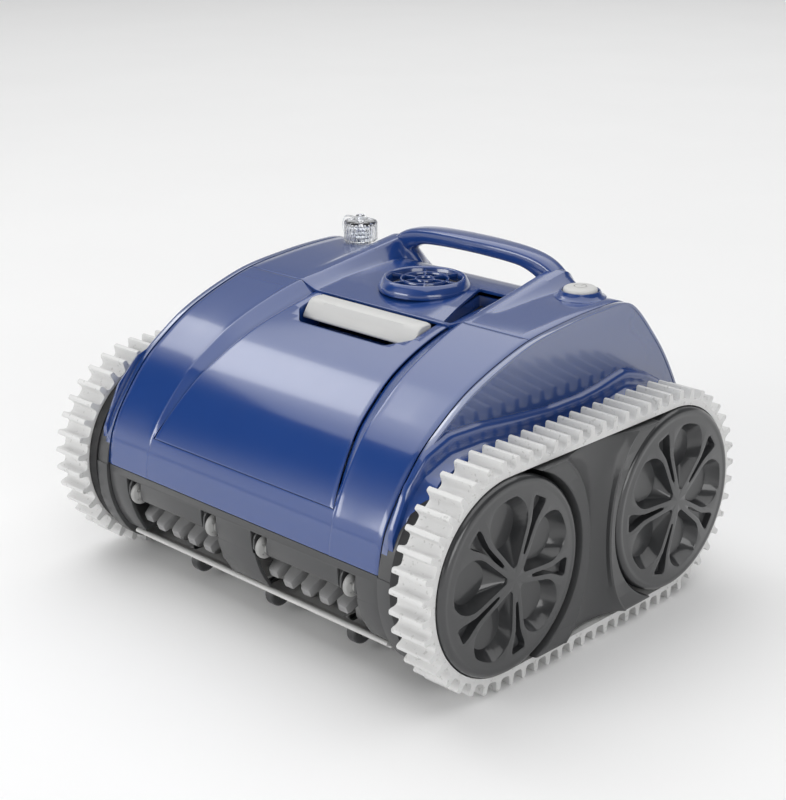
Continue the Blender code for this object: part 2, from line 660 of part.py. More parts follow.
def make_brush():
    """Roller with rows of tapered paddles, and the gear pair that drives it from the left front wheel."""
    around = 12
    stations = [(-181, 5), (-149.5, 5), (-149.5, BRUSH_CORE_R)]
    middle = (SLOT_X[0] + SLOT_X[1]) / 2
    for side in (-1, 1):
        row = [side * middle + (i - (FINS_PER_SLOT - 1) / 2) * FIN_PITCH for i in range(FINS_PER_SLOT)]
        for x in row:
            stations += [(x - 6, BRUSH_CORE_R), (x - 2, None), (x + 2, None), (x + 6, BRUSH_CORE_R)]
    stations += [(149.5, BRUSH_CORE_R), (149.5, 5), (181, 5)]
    work = bmesh.new()
    rings = []
    for x, radius in stations:
        ring = []
        for i in range(around):
            angle = i * 2 * math.pi / around + math.radians(8)
            reach = radius or (BRUSH_R if i % 2 == 0 else BRUSH_CORE_R)
            ring.append(work.verts.new((x * MM, (BRUSH_Y + reach * math.cos(angle)) * MM,
                                        (BRUSH_Z + reach * math.sin(angle)) * MM)))
        rings.append(ring)
    for a, b in zip(rings, rings[1:]):
        for i in range(around):
            j = (i + 1) % around
            work.faces.new((a[i], a[j], b[j], b[i]))
    work.faces.new(rings[0])
    work.faces.new(rings[-1])
    bmesh.ops.recalc_face_normals(work, faces=work.faces)
    mesh = bpy.data.meshes.new("brush_roller")
    work.to_mesh(mesh)
    work.free()
    pivot(keep("brush_roller", mesh, BRISTLE), 0, BRUSH_Y, BRUSH_Z)

    toward = math.atan2(BRUSH_Z - AXLE_Z, BRUSH_Y + HALF_BASE)
    bore = circle(-HALF_BASE, AXLE_Z, SHAFT_R + 0.35, 20)
    big = prism("brush_drive_gear", [gear_outline(-HALF_BASE, AXLE_Z, 36, 36, toward), bore], "X",
                168.4, 172.4, LIGHT_GREY)
    pivot(big, 0, -HALF_BASE, AXLE_Z)
    bore = circle(BRUSH_Y, BRUSH_Z, 5.35, 16)
    phase = toward + math.pi + math.pi / 12
    small = prism("brush_gear", [gear_outline(BRUSH_Y, BRUSH_Z, 12, 12, phase), bore], "X",
                  168.4, 172.4, LIGHT_GREY)
    pivot(small, 0, BRUSH_Y, BRUSH_Z)


def make_small_wheels():
    """Rollers in the bumper's ears, and small wheels under the suction lip."""
    roller_profile = [(0, 11), (2.2, 11), (2.2, 6), (4.5, 6), (4.5, 3.5), (8.2, 3.5), (9.6, 1.8), (9.6, -1.8),
                      (8.2, -3.5), (2.2, -3.5), (2.2, -9), (0, -9)]
    for number, x in enumerate(guide_places(), 1):
        roller = turned(f"guide_roller_{number}", roller_profile, "X", (x, GUIDE_Y, GUIDE_Z), LIGHT_GREY, 14)
        pivot(roller, x, GUIDE_Y, GUIDE_Z)
    wheel_profile = [(0, 8), (3, 8), (3, 5), (9.5, 5), (11, 3.5), (11, -3.5), (9.5, -5), (3, -5), (3, -8),
                     (0, -8)]
    for number, x in enumerate(SUPPORT_X, 1):
        wheel = turned(f"support_wheel_{number}", wheel_profile, "X", (x, SUPPORT_Y, SUPPORT_Z), BLACK, 16)
        pivot(wheel, x, SUPPORT_Y, SUPPORT_Z)


def make_mouth_parts():
    """Lip in front of the mouth with the ears of the support wheels, slit squeegee, and the duct above."""
    lip = [(-162, 36.5), (-158, 36.5), (-149, 31.0), (-106.6, 31.0), (-106.6, 29), (-150, 29), (-162, 33)]
    strip = prism("suction_lip", [lip], "X", -152, 152, LIGHT_GREY)
    for number, x in enumerate(SUPPORT_X, 1):
        cut(strip, block(f"lip_notch_{number}", (x - 5.7, -147.0, 20), (x + 5.7, -121, 40), None))
        for ear, shift in ((1, -7.2), (2, 7.2)):
            low, high = (x + shift - 1.1, -139, 12.5), (x + shift + 1.1, -129, 30)
            join(strip, block(f"wheel_ear_{number}_{ear}", low, high, None))
        cut(strip, rod(f"wheel_bore_{number}", "X", (0, SUPPORT_Y, SUPPORT_Z), 3.3, x - 10, x + 10, None, 12))
    row = [(-152, -116.5), (-152, -113.5), (152, -113.5), (152, -116.5)]
    teeth = prism("squeegee", [row], "Z", 8, 28, BRISTLE)
    for i in range(1, 14):
        x = -152 + i * 304 / 14
        cut(teeth, block(f"squeegee_slit_{i}", (x - 0.6, -120, 5), (x + 0.6, -110, 20), None))
    frame = [[(-65, -89), (65, -89), (65, -41), (-65, -41)], [(-61, -85), (61, -85), (61, -45), (-61, -45)]]
    prism("intake_duct", frame, "Z", 25.0 + GAP, 39.6, CHARCOAL)


# ---------------------------------------------------------------- inside

def make_basket():
    outer = (-88.0, -101.0, 40.0), (88.0, -9.0, 165.0)
    basket = block("filter_basket", *outer, BLACK)
    inner = block("basket_room", (-85, -98, 43), (85, -12, 180), None)
    mouth = block("basket_mouth", (-40, -82, 30), (40, -48, 60), None)
    cut(basket, inner, mouth)
    for i, x in enumerate((-58, 0, 58)):
        cut(basket, block(f"front_window_{i}", (x - 24, -120, 55), (x + 24, 10, 155), None))
    for i, y in enumerate((-76, -34)):
        cut(basket, block(f"side_window_{i}", (-120, y - 16, 55), (120, y + 16, 155), None))
    screen = block("filter_screen", (-84.5, -97.5, 44), (84.5, -12.5, 160), MESH)
    cut(screen, block("screen_room", (-83.5, -96.5, 40), (83.5, -13.5, 180), None))
    flap = block("intake_flap", (-43, -86, 45), (43, -44, 47), LIGHT_GREY)
    knuckle = rod("flap_knuckle", "X", (0, -44, 46.2), 2.0, -42.9, 42.9, None, 12)
    join(flap, knuckle)
    pivot(flap, 0, -44, 46.2)


def make_power():
    block("battery_pack", (-60, 62, 26), (60, 122, 72), BLACK)
    block("motor_pod", (-60, 0, 26), (60, 61, 120), CHARCOAL)
    block("control_board", (-52, 66, 76), (52, 120, 78), GREEN)
    motor = [(0, 150.5), (20, 150.5), (20, 118), (16, 118), (16, 68), (0, 68)]
    drive = turned("drive_motor_left", motor, "X", (0, HALF_BASE, AXLE_Z), BLACK, 24)
    mirrored(drive, "drive_motor_right")
    rod("pump_motor", "Z", (0, GRILLE_Y, 0), 17, 121, 196, STEEL)
    profile = [(31.0, 243.0), (31.0, 123.0), (28.0, 123.0), (28.0, 243.0)]
    duct = turned("outlet_duct", profile, "Z", (0, GRILLE_Y, 0), CHARCOAL, 20)
    cut(duct, block("duct_window", (-18, GRILLE_Y - 60, 130), (18, GRILLE_Y, 185), None))


def make_impeller():
    hub = rod("impeller", "Z", (0, GRILLE_Y, 0), 8, 197.5, 216, BLACK)
    for i in range(5):
        angle = i * 2 * math.pi / 5
        blade = block(f"blade_{i}", (5, -0.9, 199), (25, 0.9, 214), None)
        tilt = Matrix.Translation((0, GRILLE_Y * MM, 0)) @ Matrix.Rotation(angle, 4, "Z")
        middle = Matrix.Translation((0, 0, 206.5 * MM))
        lean = middle @ Matrix.Rotation(math.radians(50), 4, "X") @ middle.inverted()
        blade.data.transform(tilt @ lean)
        join(hub, blade)
    pivot(hub, 0, GRILLE_Y, 206)


# ---------------------------------------------------------------- top fittings

def make_grille():
    """Outer ring, middle ring and hub ring joined by six spokes."""
    holes = []
    for inner, outer, half_spoke in ((9.0, 18.5, 1.0), (21.0, 31.0, 1.2)):
        for i in range(6):
            start = i * math.pi / 3 + math.radians(12)
            gap_in, gap_out = half_spoke / inner, half_spoke / outer
            near = circle(0, GRILLE_Y, inner, 3, start + gap_in, math.pi / 3 - 2 * gap_in)
            far = circle(0, GRILLE_Y, outer, 4, start + gap_out, math.pi / 3 - 2 * gap_out)
            holes.append(near + far[::-1])
    holes.append(circle(0, GRILLE_Y, 6.0, 12))
    rim = circle(0, GRILLE_Y, GRILLE_R, 30)
    prism("outlet_grille", [rim] + holes, "Z", 244.3, 249.6, BLUE)


def make_button():
    x, y = BUTTON
    ring = [(15.0, 255.5), (16.4, 255.5), (17.5, 251.2), (15.0, 251.2)]
    turned("button_bezel", ring, "Z", (x, y, 0), BLUE, 24)
    profile = [(0, 259), (11, 259), (14.2, 257), (14.2, 248), (5, 248), (5, 240), (0, 240)]
    button = turned("power_button", profile, "Z", (x, y, 0), LIGHT_GREY, 24)
    pivot(button, x, y, 250)
    turns, per_turn = 3, 8
    coil = []
    for i in range(turns * per_turn + 1):
        angle = i * 2 * math.pi / per_turn
        coil.append((x + 8 * math.cos(angle), y + 8 * math.sin(angle), 233.5 + 13.0 * i / (turns * per_turn)))
    wire("button_spring", coil, 0.6, STEEL, 0)
    seat = [(0, 232.4), (11, 232.4), (11, 229), (0, 229)]
    turned("button_seat", seat, "Z", (x, y, 0), CHARCOAL, 24)


def make_cap():
    x, y = CAP
    bore, outside = PORT_R
    tube = [(bore, 262.0), (outside, 262.0), (outside, 240.0), (bore, 240.0)]
    turned("charge_port", tube, "Z", (x, y, 0), BLACK, 24)
    room, rim = CAP_R
    cup = [(0, 275.6), (4.4, 275.6), (4.4, 274.4), (3.0, 274.2), (3.0, 270.5), (rim - 2, 270.5), (rim, 269),
           (rim, 252.2), (room, 252.2), (room, 266), (0, 266)]
    cap = turned("charge_cap", cup, "Z", (x, y, 0), CLEAR, 20)
    pivot(cap, x, y, 260)
    washer = [(3.4, 272.8), (6.5, 272.8), (6.5, 271.2), (3.4, 271.2)]
    ring = turned("strap_ring", washer, "Z", (x, y, 0), CLEAR, 24)
    pivot(ring, x, y, 272)
    route = []
    for i in range(11):
        angle = math.radians(90 - 18 * i)
        route.append((x - 16 - 7.5 * math.cos(angle), y, 262 + 10 * math.sin(angle)))
    start = (x - 7.0, y, 272.0)
    foot = (x - 17.5, y, 251.9)
    wire("cap_strap", [start] + route[:-1] + [foot], 0.7, CLEAR, 1)


# ---------------------------------------------------------------- assembly

make_front_cover()
make_lid()
make_hinge_pins()
make_latch()
make_rear_cover()
make_side_panel()
make_bumpers()
make_hull()
make_track_frame()
make_belt()
make_wheels()
make_brush()
make_small_wheels()
make_mouth_parts()
make_basket()
make_power()
make_impeller()
make_grille()
make_button()
make_cap()
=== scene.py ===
"""Detailed look of the pool cleaning robot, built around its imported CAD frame.

Lengths are in millimetres until a mesh is made. +X is the width ("left" is +X), the front faces -Y, +Z is up.
"""

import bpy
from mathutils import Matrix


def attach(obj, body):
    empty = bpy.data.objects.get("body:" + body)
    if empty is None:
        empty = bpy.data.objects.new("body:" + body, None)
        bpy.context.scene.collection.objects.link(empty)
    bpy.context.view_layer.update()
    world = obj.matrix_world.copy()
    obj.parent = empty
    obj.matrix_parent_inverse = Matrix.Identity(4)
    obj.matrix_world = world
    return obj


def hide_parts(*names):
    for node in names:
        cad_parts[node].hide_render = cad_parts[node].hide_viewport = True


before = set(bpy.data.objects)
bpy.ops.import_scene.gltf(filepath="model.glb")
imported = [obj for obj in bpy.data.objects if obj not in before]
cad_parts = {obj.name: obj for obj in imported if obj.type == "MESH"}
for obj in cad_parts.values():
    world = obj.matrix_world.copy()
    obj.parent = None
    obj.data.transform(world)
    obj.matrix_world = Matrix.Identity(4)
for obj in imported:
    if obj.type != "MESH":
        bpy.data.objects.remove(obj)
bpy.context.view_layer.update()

import math

import bmesh
import bpy
import numpy as np
from mathutils import Matrix, Vector

MM = 0.001
TAU = 2 * math.pi

# Tracks
HALF_BASE = 102.5
AXLE_Z = 92.1
BAND_OUT_R = 83.0
BAND_IN_R = 78.6
BELT_X = (185.0, 217.5)
PADDLES = 64
WHEEL_R = 78.0
WHEEL_X = (186.5, 225.0)
SHAFT_R = 6.0

# Body
COVER_X = 160.0
SEAM_Y = -17.0
SHELL = 2.6
PANEL_X = (163.0, 167.0)
COVER = [(-180, 100), (-175.5, 126), (-164.5, 148), (-150, 168), (-133, 186.5), (-115, 200), (-95, 213),
         (-73, 223.5), (-44, 234), (SEAM_Y, 241.5), (15, 246), (49, 249), (83, 250.2), (98, 249.4),
         (105, 247.4), (113, 242.4), (122, 234.3), (137, 218), (152, 200.4), (163.5, 184.2), (174, 167), (183, 149),
         (189, 126), (188, 100)]
BUMPER_FRONT = [(-180, 99.3), (-179.5, 84), (-176, 66), (-170.5, 52), (-163, 39.5)]
BUMPER_REAR = [(188, 99.3), (185, 80), (178, 60), (166, 42), (150, 28), (134, 20)]
LID_LOW_Z = 134.5
LATCH_HALF = 64.0

# Brush
BRUSH_Y = -141.0
BRUSH_Z = AXLE_Z - math.sqrt(48.0 ** 2 - (BRUSH_Y + HALF_BASE) ** 2)
SLOT_X = (22.5, 136.0)
SLOT_Z = (30.0, 77.0)
FINS_PER_SLOT = 6
FIN_PITCH = 20.4
GUIDE_X = (30.3, 127.5)
GUIDE_Y = -173.0
GUIDE_Z = 80.0
SUPPORT_X = (-95.0, 0.0, 95.0)

# Top fittings
GRILLE_Y = 40.0
BUTTON = (130.0, 86.0)
CAP = (-131.0, 94.0)

AXIS_MATRIX = {
    "X": Matrix(((0, 0, 1, 0), (1, 0, 0, 0), (0, 1, 0, 0), (0, 0, 0, 1))),
    "Y": Matrix(((0, 1, 0, 0), (0, 0, 1, 0), (1, 0, 0, 0), (0, 0, 0, 1))),
    "Z": Matrix.Identity(4),
}


# ---------------------------------------------------------------- camera, lights and floor

def make_camera():
    data = bpy.data.cameras.new("camera")
    data.lens = 72.74
    data.sensor_width = 36.0
    camera = bpy.data.objects.new("camera", data)
    bpy.context.scene.collection.objects.link(camera)
    azimuth, elevation = math.radians(44.05), math.radians(19.20)
    back = Vector((math.sin(azimuth) * math.cos(elevation), -math.cos(azimuth) * math.cos(elevation),
                   math.sin(elevation)))
    camera.location = (0.9038, -0.9329, 0.6027)
    camera.rotation_euler = back.to_track_quat("Z", "Y").to_euler()
    bpy.context.scene.camera = camera


def make_light(name, place, target, size, power, colour=(1, 1, 1)):
    data = bpy.data.lights.new(name, "AREA")
    data.shape = "RECTANGLE"
    data.size, data.size_y = size
    data.energy = power
    data.color = colour
    light = bpy.data.objects.new(name, data)
    light.location = place
    light.rotation_euler = (Vector(place) - Vector(target)).to_track_quat("Z", "Y").to_euler()
    bpy.context.scene.collection.objects.link(light)


def make_world():
    """Soft surround: pale near the horizon, dimmer above, with dark and bright bands across Y that shape gloss."""
    world = bpy.data.worlds.new("studio")
    world.use_nodes = True
    tree = world.node_tree
    place = tree.nodes.new("ShaderNodeTexCoord")
    split = tree.nodes.new("ShaderNodeSeparateXYZ")
    tree.links.new(place.outputs["Generated"], split.inputs["Vector"])
    half = tree.nodes.new("ShaderNodeMapRange")
    half.inputs["From Min"].default_value = -1
    tree.links.new(split.outputs["Y"], half.inputs["Value"])
    bands = tree.nodes.new("ShaderNodeValToRGB")
    bands.color_ramp.interpolation = "EASE"
    stops = [(-0.80, 0.75), (-0.66, 0.60), (-0.50, 0.02), (-0.32, 0.02), (-0.14, 0.45), (-0.02, 0.62), (0.16, 0.40),
             (0.5, 0.36), (0.9, 0.45)]
    spots = bands.color_ramp.elements
    spots[0].position, spots[1].position = (stops[0][0] + 1) / 2, (stops[-1][0] + 1) / 2
    for y, level in stops[1:-1]:
        spots.new((y + 1) / 2)
    for spot, (y, level) in zip(spots, stops):
        spot.color = (level, level, level, 1)
    tree.links.new(half.outputs["Result"], bands.inputs["Fac"])
    low = tree.nodes.new("ShaderNodeMapRange")
    low.interpolation_type = "SMOOTHSTEP"
    low.inputs["From Min"].default_value = 0.26
    low.inputs["From Max"].default_value = 0.02
    tree.links.new(split.outputs["Z"], low.inputs["Value"])
    side = tree.nodes.new("ShaderNodeMapRange")
    side.interpolation_type = "SMOOTHSTEP"
    for socket, value in (("From Min", -0.45), ("From Max", 0.25), ("To Min", 1.0), ("To Max", 0.25)):
        side.inputs[socket].default_value = value
    tree.links.new(split.outputs["X"], side.inputs["Value"])
    upper = tree.nodes.new("ShaderNodeVectorMath")
    upper.operation = "SCALE"
    tree.links.new(bands.outputs["Color"], upper.inputs[0])
    tree.links.new(side.outputs["Result"], upper.inputs["Scale"])
    mix = tree.nodes.new("ShaderNodeMix")
    mix.data_type = "RGBA"
    mix.inputs["B"].default_value = (1, 1, 1, 1)
    tree.links.new(low.outputs["Result"], mix.inputs["Factor"])
    tree.links.new(upper.outputs["Vector"], mix.inputs["A"])
    tree.links.new(mix.outputs["Result"], tree.nodes["Background"].inputs["Color"])
    tree.nodes["Background"].inputs["Strength"].default_value = 1.0
    bpy.context.scene.world = world


def make_studio():
    bpy.context.scene.view_settings.view_transform = "Standard"
    make_world()
    make_light("top_light", (-1.0, 1.6, 5.0), (-1.0, 1.6, 0), (9.0, 9.0), 340)
    make_light("strip_light", (-1.65, -0.14, 1.75), (0, -0.1, 0.2), (0.45, 0.7), 2.2)
    make_light("key_light", (-0.7, -2.2, 0.9), (0, 0, 0.1), (1.6, 0.7), 16)
    make_light("side_light", (2.2, -0.9, 0.9), (0.15, 0, 0.1), (1.4, 1.0), 14)
    work = bmesh.new()
    bmesh.ops.create_grid(work, x_segments=4, y_segments=4, size=6)
    mesh = bpy.data.meshes.new("floor")
    work.to_mesh(mesh)
    work.free()
    floor = bpy.data.objects.new("floor", mesh)
    bpy.context.scene.collection.objects.link(floor)
    mesh.materials.append(finish("floor_pale", (0.93, 0.93, 0.93), (0.90, 0.90, 0.90), 0.9, 3, 0, 3))


# ---------------------------------------------------------------- materials

def finish(name, colour, other, roughness, patches=18.0, bump=0.05, grain=900.0, spread=0.06, coat=0.0,
           metallic=0.0, coat_ior=1.5, clear=0.0, specks=None):
    """Moulded finish: two close colours in soft patches, fine grain as bump, and uneven roughness."""
    made = bpy.data.materials.new(name)
    made.use_nodes = True
    tree = made.node_tree
    shader = tree.nodes["Principled BSDF"]
    place = tree.nodes.new("ShaderNodeTexCoord")

    def noise(scale, detail):
        node = tree.nodes.new("ShaderNodeTexNoise")
        node.inputs["Scale"].default_value = scale
        node.inputs["Detail"].default_value = detail
        tree.links.new(place.outputs["Object"], node.inputs["Vector"])
        return node.outputs["Fac"]

    soft = noise(patches, 3)
    fine = noise(grain, 4)
    mix = tree.nodes.new("ShaderNodeMix")
    mix.data_type = "RGBA"
    mix.inputs["A"].default_value = (*colour, 1)
    mix.inputs["B"].default_value = (*other, 1)
    tree.links.new(soft, mix.inputs["Factor"])
    colour_out = mix.outputs["Result"]
    if specks:
        ramp = tree.nodes.new("ShaderNodeMapRange")
        ramp.inputs["From Min"].default_value = 0.62
        ramp.inputs["From Max"].default_value = 0.70
        tree.links.new(noise(specks[1], 2), ramp.inputs["Value"])
        dust = tree.nodes.new("ShaderNodeMix")
        dust.data_type = "RGBA"
        dust.inputs["B"].default_value = (*specks[0], 1)
        tree.links.new(ramp.outputs["Result"], dust.inputs["Factor"])
        tree.links.new(colour_out, dust.inputs["A"])
        colour_out = dust.outputs["Result"]
    tree.links.new(colour_out, shader.inputs["Base Color"])
    rough = tree.nodes.new("ShaderNodeMapRange")
    rough.inputs["To Min"].default_value = max(roughness - spread, 0.02)
    rough.inputs["To Max"].default_value = min(roughness + spread, 1)
    tree.links.new(noise(patches * 6, 5), rough.inputs["Value"])
    tree.links.new(rough.outputs["Result"], shader.inputs["Roughness"])
    if bump:
        relief = tree.nodes.new("ShaderNodeBump")
        relief.inputs["Strength"].default_value = bump
        relief.inputs["Distance"].default_value = 0.0003
        tree.links.new(fine, relief.inputs["Height"])
        tree.links.new(relief.outputs["Normal"], shader.inputs["Normal"])
    shader.inputs["Metallic"].default_value = metallic
    shader.inputs["Coat Weight"].default_value = coat
    shader.inputs["Coat Roughness"].default_value = 0.10
    shader.inputs["Coat IOR"].default_value = coat_ior
    shader.inputs["Transmission Weight"].default_value = clear
    return made


BLUE = finish("shell_blue", (0.010, 0.045, 0.205), (0.012, 0.052, 0.228), 0.22, 9, 0.02, 1400, 0.03, 0.6,
              coat_ior=1.9)
SIDE_BLUE = finish("side_blue", (0.012, 0.047, 0.195), (0.014, 0.054, 0.215), 0.24, 9, 0.02, 1400, 0.03, 1.0,
                   coat_ior=2.1)
CHARCOAL = finish("charcoal_plastic", (0.050, 0.051, 0.053), (0.062, 0.063, 0.065), 0.42, 25, 0.10, 1500, 0.05, 0.2)
BLACK = finish("black_plastic", (0.022, 0.023, 0.025), (0.028, 0.029, 0.031), 0.34, 25, 0.08, 1500, 0.04, 0.5,
               coat_ior=1.7)
# Near-black used as painted shade: the deck slot floor and the pans behind the wheels are coloured to stand in for
# shadow.
SHADE_BLACK = finish("painted_shade_black", (0.006, 0.006, 0.007), (0.010, 0.010, 0.011), 0.6, 40, 0.1, 900)
TREAD = finish("tread_grey", (0.66, 0.66, 0.655), (0.72, 0.72, 0.715), 0.58, 30, 0.18, 1100, 0.08,
               specks=((0.54, 0.54, 0.53), 260))
LIGHT = finish("light_grey_plastic", (0.58, 0.58, 0.57), (0.64, 0.64, 0.63), 0.42, 22, 0.08, 1400)
RUBBER = finish("brush_rubber", (0.23, 0.23, 0.232), (0.29, 0.29, 0.292), 0.55, 35, 0.2, 1200)
ROLLER = finish("roller_grey", (0.30, 0.30, 0.295), (0.36, 0.36, 0.355), 0.40, 30, 0.08, 1400)
STEEL = finish("stainless_steel", (0.50, 0.50, 0.51), (0.62, 0.62, 0.63), 0.30, 60, 0.08, 2600, 0.1,
               metallic=1.0)
GREEN = finish("circuit_board", (0.012, 0.12, 0.045), (0.02, 0.17, 0.06), 0.45, 60, 0.3, 700, 0.1,
               specks=((0.55, 0.42, 0.12), 420))
CLOTH = finish("filter_fabric", (0.42, 0.45, 0.48), (0.55, 0.57, 0.60), 0.85, 50, 0.9, 1900, 0.05)
CLEAR = finish("clear_plastic", (0.93, 0.95, 0.97), (0.97, 0.98, 1.0), 0.06, 25, 0.02, 900, 0.03, clear=1.0)
AMBER = finish("pale_tab", (0.30, 0.29, 0.22), (0.36, 0.34, 0.26), 0.5, 40, 0.1, 1200)


# ---------------------------------------------------------------- shapes

def spline(points, count):
    """Evenly spaced points on a natural cubic through the given ones."""
    points = np.array(points, float)
    knots = np.concatenate([[0], np.cumsum(np.linalg.norm(np.diff(points, axis=0), axis=1))])
    step = np.diff(knots)
    size = len(points)
    system, right = np.eye(size), np.zeros_like(points)
    for i in range(1, size - 1):
        system[i, i - 1:i + 2] = step[i - 1], 2 * (step[i - 1] + step[i]), step[i]
        right[i] = 6 * ((points[i + 1] - points[i]) / step[i] - (points[i] - points[i - 1]) / step[i - 1])
    bend = np.linalg.solve(system, right)
    dense = np.linspace(0, knots[-1], 1500)
    at = np.clip(np.searchsorted(knots, dense, side="right") - 1, 0, size - 2)
    h, a, b = step[at][:, None], (knots[at + 1] - dense)[:, None], (dense - knots[at])[:, None]
    curve = (bend[at] * a ** 3 + bend[at + 1] * b ** 3) / (6 * h)
    curve += (points[at] / h - bend[at] * h / 6) * a + (points[at + 1] / h - bend[at + 1] * h / 6) * b
    along = np.concatenate([[0], np.cumsum(np.linalg.norm(np.diff(curve, axis=0), axis=1))])
    even = np.linspace(0, along[-1], count)
    return np.stack([np.interp(even, along, curve[:, k]) for k in range(curve.shape[1])], axis=1)


def normals(points):
    """Left-hand normals of a polyline of (y, z) points that runs from front to rear: they point outwards."""
    run = np.gradient(points, axis=0)
    run /= np.linalg.norm(run, axis=1)[:, None]
    return np.stack([-run[:, 1], run[:, 0]], axis=1)


def smooth(value):
    value = np.clip(value, 0, 1)
    return value * value * (3 - 2 * value)


def circle(a, b, radius, steps, start=0.0, sweep=TAU):
    whole = abs(sweep) >= TAU - 1e-6
    last = steps if whole else steps - 1
    return [(a + radius * math.cos(start + sweep * i / last), b + radius * math.sin(start + sweep * i / last))
            for i in range(steps)]


def rounded(corners, radius, steps=5):
    """A polygon with its corners rounded."""
    made = []
    count = len(corners)
    for i, corner in enumerate(corners):
        here = Vector(corner)
        before, after = Vector(corners[i - 1]) - here, Vector(corners[(i + 1) % count]) - here
        reach = min(radius, 0.45 * before.length, 0.45 * after.length)
        start, end = here + before.normalized() * reach, here + after.normalized() * reach
        for k in range(steps + 1):
            t = k / steps
            made.append(tuple(start * (1 - t) ** 2 + here * 2 * t * (1 - t) + end * t * t))
    return made


def build(name, points, faces):
    mesh = bpy.data.meshes.new(name)
    mesh.from_pydata([tuple(c * MM for c in p) for p in points], [], faces)
    made = bpy.data.objects.new(name, mesh)
    bpy.context.scene.collection.objects.link(made)
    return made


def clean(made, weld=0.002):
    work = bmesh.new()
    work.from_mesh(made.data)
    bmesh.ops.remove_doubles(work, verts=work.verts, dist=weld * MM)
    bmesh.ops.dissolve_degenerate(work, edges=work.edges, dist=weld * MM / 2)
    bmesh.ops.recalc_face_normals(work, faces=work.faces)
    work.to_mesh(made.data)
    work.free()
    return made


def bake(made):
    graph = bpy.context.evaluated_depsgraph_get()
    mesh = bpy.data.meshes.new_from_object(made.evaluated_get(graph))
    made.modifiers.clear()
    made.data = mesh
    return made


def grid(name, rows, keep=None, closed=False):
    """Quads between rows of points; keep(i, j) says which cells exist."""
    width = len(rows[0])
    faces = []
    for i in range(len(rows) - 1):
        for j in range(width if closed else width - 1):
            if keep is None or keep(i, j):
                k = (j + 1) % width
                faces.append((i * width + j, i * width + k, (i + 1) * width + k, (i + 1) * width + j))
    return build(name, [p for row in rows for p in row], faces)


def loft(name, rings):
    """A closed body through rings of points, with flat ends."""
    made = grid(name, rings, closed=True)
    work = bmesh.new()
    work.from_mesh(made.data)
    work.verts.ensure_lookup_table()
    width, last = len(rings[0]), (len(rings) - 1) * len(rings[0])
    work.faces.new([work.verts[i] for i in range(width)])
    work.faces.new([work.verts[last + i] for i in reversed(range(width))])
    work.to_mesh(made.data)
    work.free()
    return clean(made)


def thicken(made, thickness, offset=-1.0):
    clean(made)
    shell = made.modifiers.new("shell", "SOLIDIFY")
    shell.thickness = thickness * MM
    shell.offset = offset
    shell.use_even_offset = True
    return bake(made)


def prism(name, loops, axis, low, high):
    """A flat outline with holes, extruded along an axis: X takes (y, z), Y takes (z, x), Z takes (x, y)."""
    curve = bpy.data.curves.new(name, "CURVE")
    curve.dimensions = "2D"
    curve.fill_mode = "BOTH"
    curve.extrude = (high - low) / 2 * MM
    for loop in loops:
        line = curve.splines.new("POLY")
        line.points.add(len(loop) - 1)
        line.use_cyclic_u = True
        for point, (a, b) in zip(line.points, loop):
            point.co = (a * MM, b * MM, 0, 1)
    holder = bpy.data.objects.new(name + "_outline", curve)
    bpy.context.scene.collection.objects.link(holder)
    mesh = bpy.data.meshes.new_from_object(holder.evaluated_get(bpy.context.evaluated_depsgraph_get()))
    bpy.data.objects.remove(holder, do_unlink=True)
    mesh.transform(AXIS_MATRIX[axis] @ Matrix.Translation((0, 0, (low + high) / 2 * MM)))
    made = bpy.data.objects.new(name, mesh)
    bpy.context.scene.collection.objects.link(made)
    return clean(made)


def block(name, low, high):
    return prism(name, [[(low[0], low[1]), (high[0], low[1]), (high[0], high[1]), (low[0], high[1])]], "Z",
                 low[2], high[2])


def turned(name, profile, axis, centre, steps=64):
    """A (radius, height) profile turned about an axis through centre."""
    count = len(profile)
    edges = [(i, i + 1) for i in range(count - 1)]
    if profile[0][0] > 0:
        edges.append((count - 1, 0))
    mesh = bpy.data.meshes.new(name)
    mesh.from_pydata([(r * MM, 0, h * MM) for r, h in profile], edges, [])
    made = bpy.data.objects.new(name, mesh)
    bpy.context.scene.collection.objects.link(made)
    screw = made.modifiers.new("turn", "SCREW")
    screw.steps = screw.render_steps = steps
    screw.use_merge_vertices = True
    screw.merge_threshold = 0.00001
    bake(made)
    made.data.transform(Matrix.Translation(Vector(centre) * MM) @ AXIS_MATRIX[axis])
    return clean(made)


def rod(name, axis, centre, radius, low, high, steps=32):
    return turned(name, [(0, high), (radius, high), (radius, low), (0, low)], axis, centre, steps)


def combine(target, operation, *others):
    for other in others:
        step = target.modifiers.new(other.name, "BOOLEAN")
        step.operation = operation
        step.solver = "EXACT"
        step.object = other
        bake(target)
        bpy.data.objects.remove(other, do_unlink=True)
    return target


def cut(target, *others):
    return combine(target, "DIFFERENCE", *others)


def join(target, *others):
    return combine(target, "UNION", *others)


def edges(made, width, angle=32, segments=3):
    clean(made)
    bevel = made.modifiers.new("edges", "BEVEL")
    bevel.width = width * MM
    bevel.segments = segments
    bevel.limit_method = "ANGLE"
    bevel.angle_limit = math.radians(angle)
    bevel.harden_normals = False
    return bake(made)


def piece(made, look, body, *nodes, angle=35):
    """A finished piece: its look, the CAD body it rides on and the CAD nodes it stands for."""
    made.data.materials.clear()
    made.data.materials.append(look)
    made.data.shade_smooth()
    made.data.set_sharp_from_angle(angle=math.radians(angle))
    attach(made, body)
    if nodes:
        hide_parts(*nodes)
    return made


def mirror(made, name, look, body, *nodes, angle=35):
    """The other side's copy of a left piece."""
    mesh = made.data.copy()
    mesh.transform(Matrix.Scale(-1, 4, (1, 0, 0)))
    mesh.flip_normals()
    other = bpy.data.objects.new(name, mesh)
    bpy.context.scene.collection.objects.link(other)
    return piece(other, look, body, *nodes, angle=angle)


# ---------------------------------------------------------------- top shells

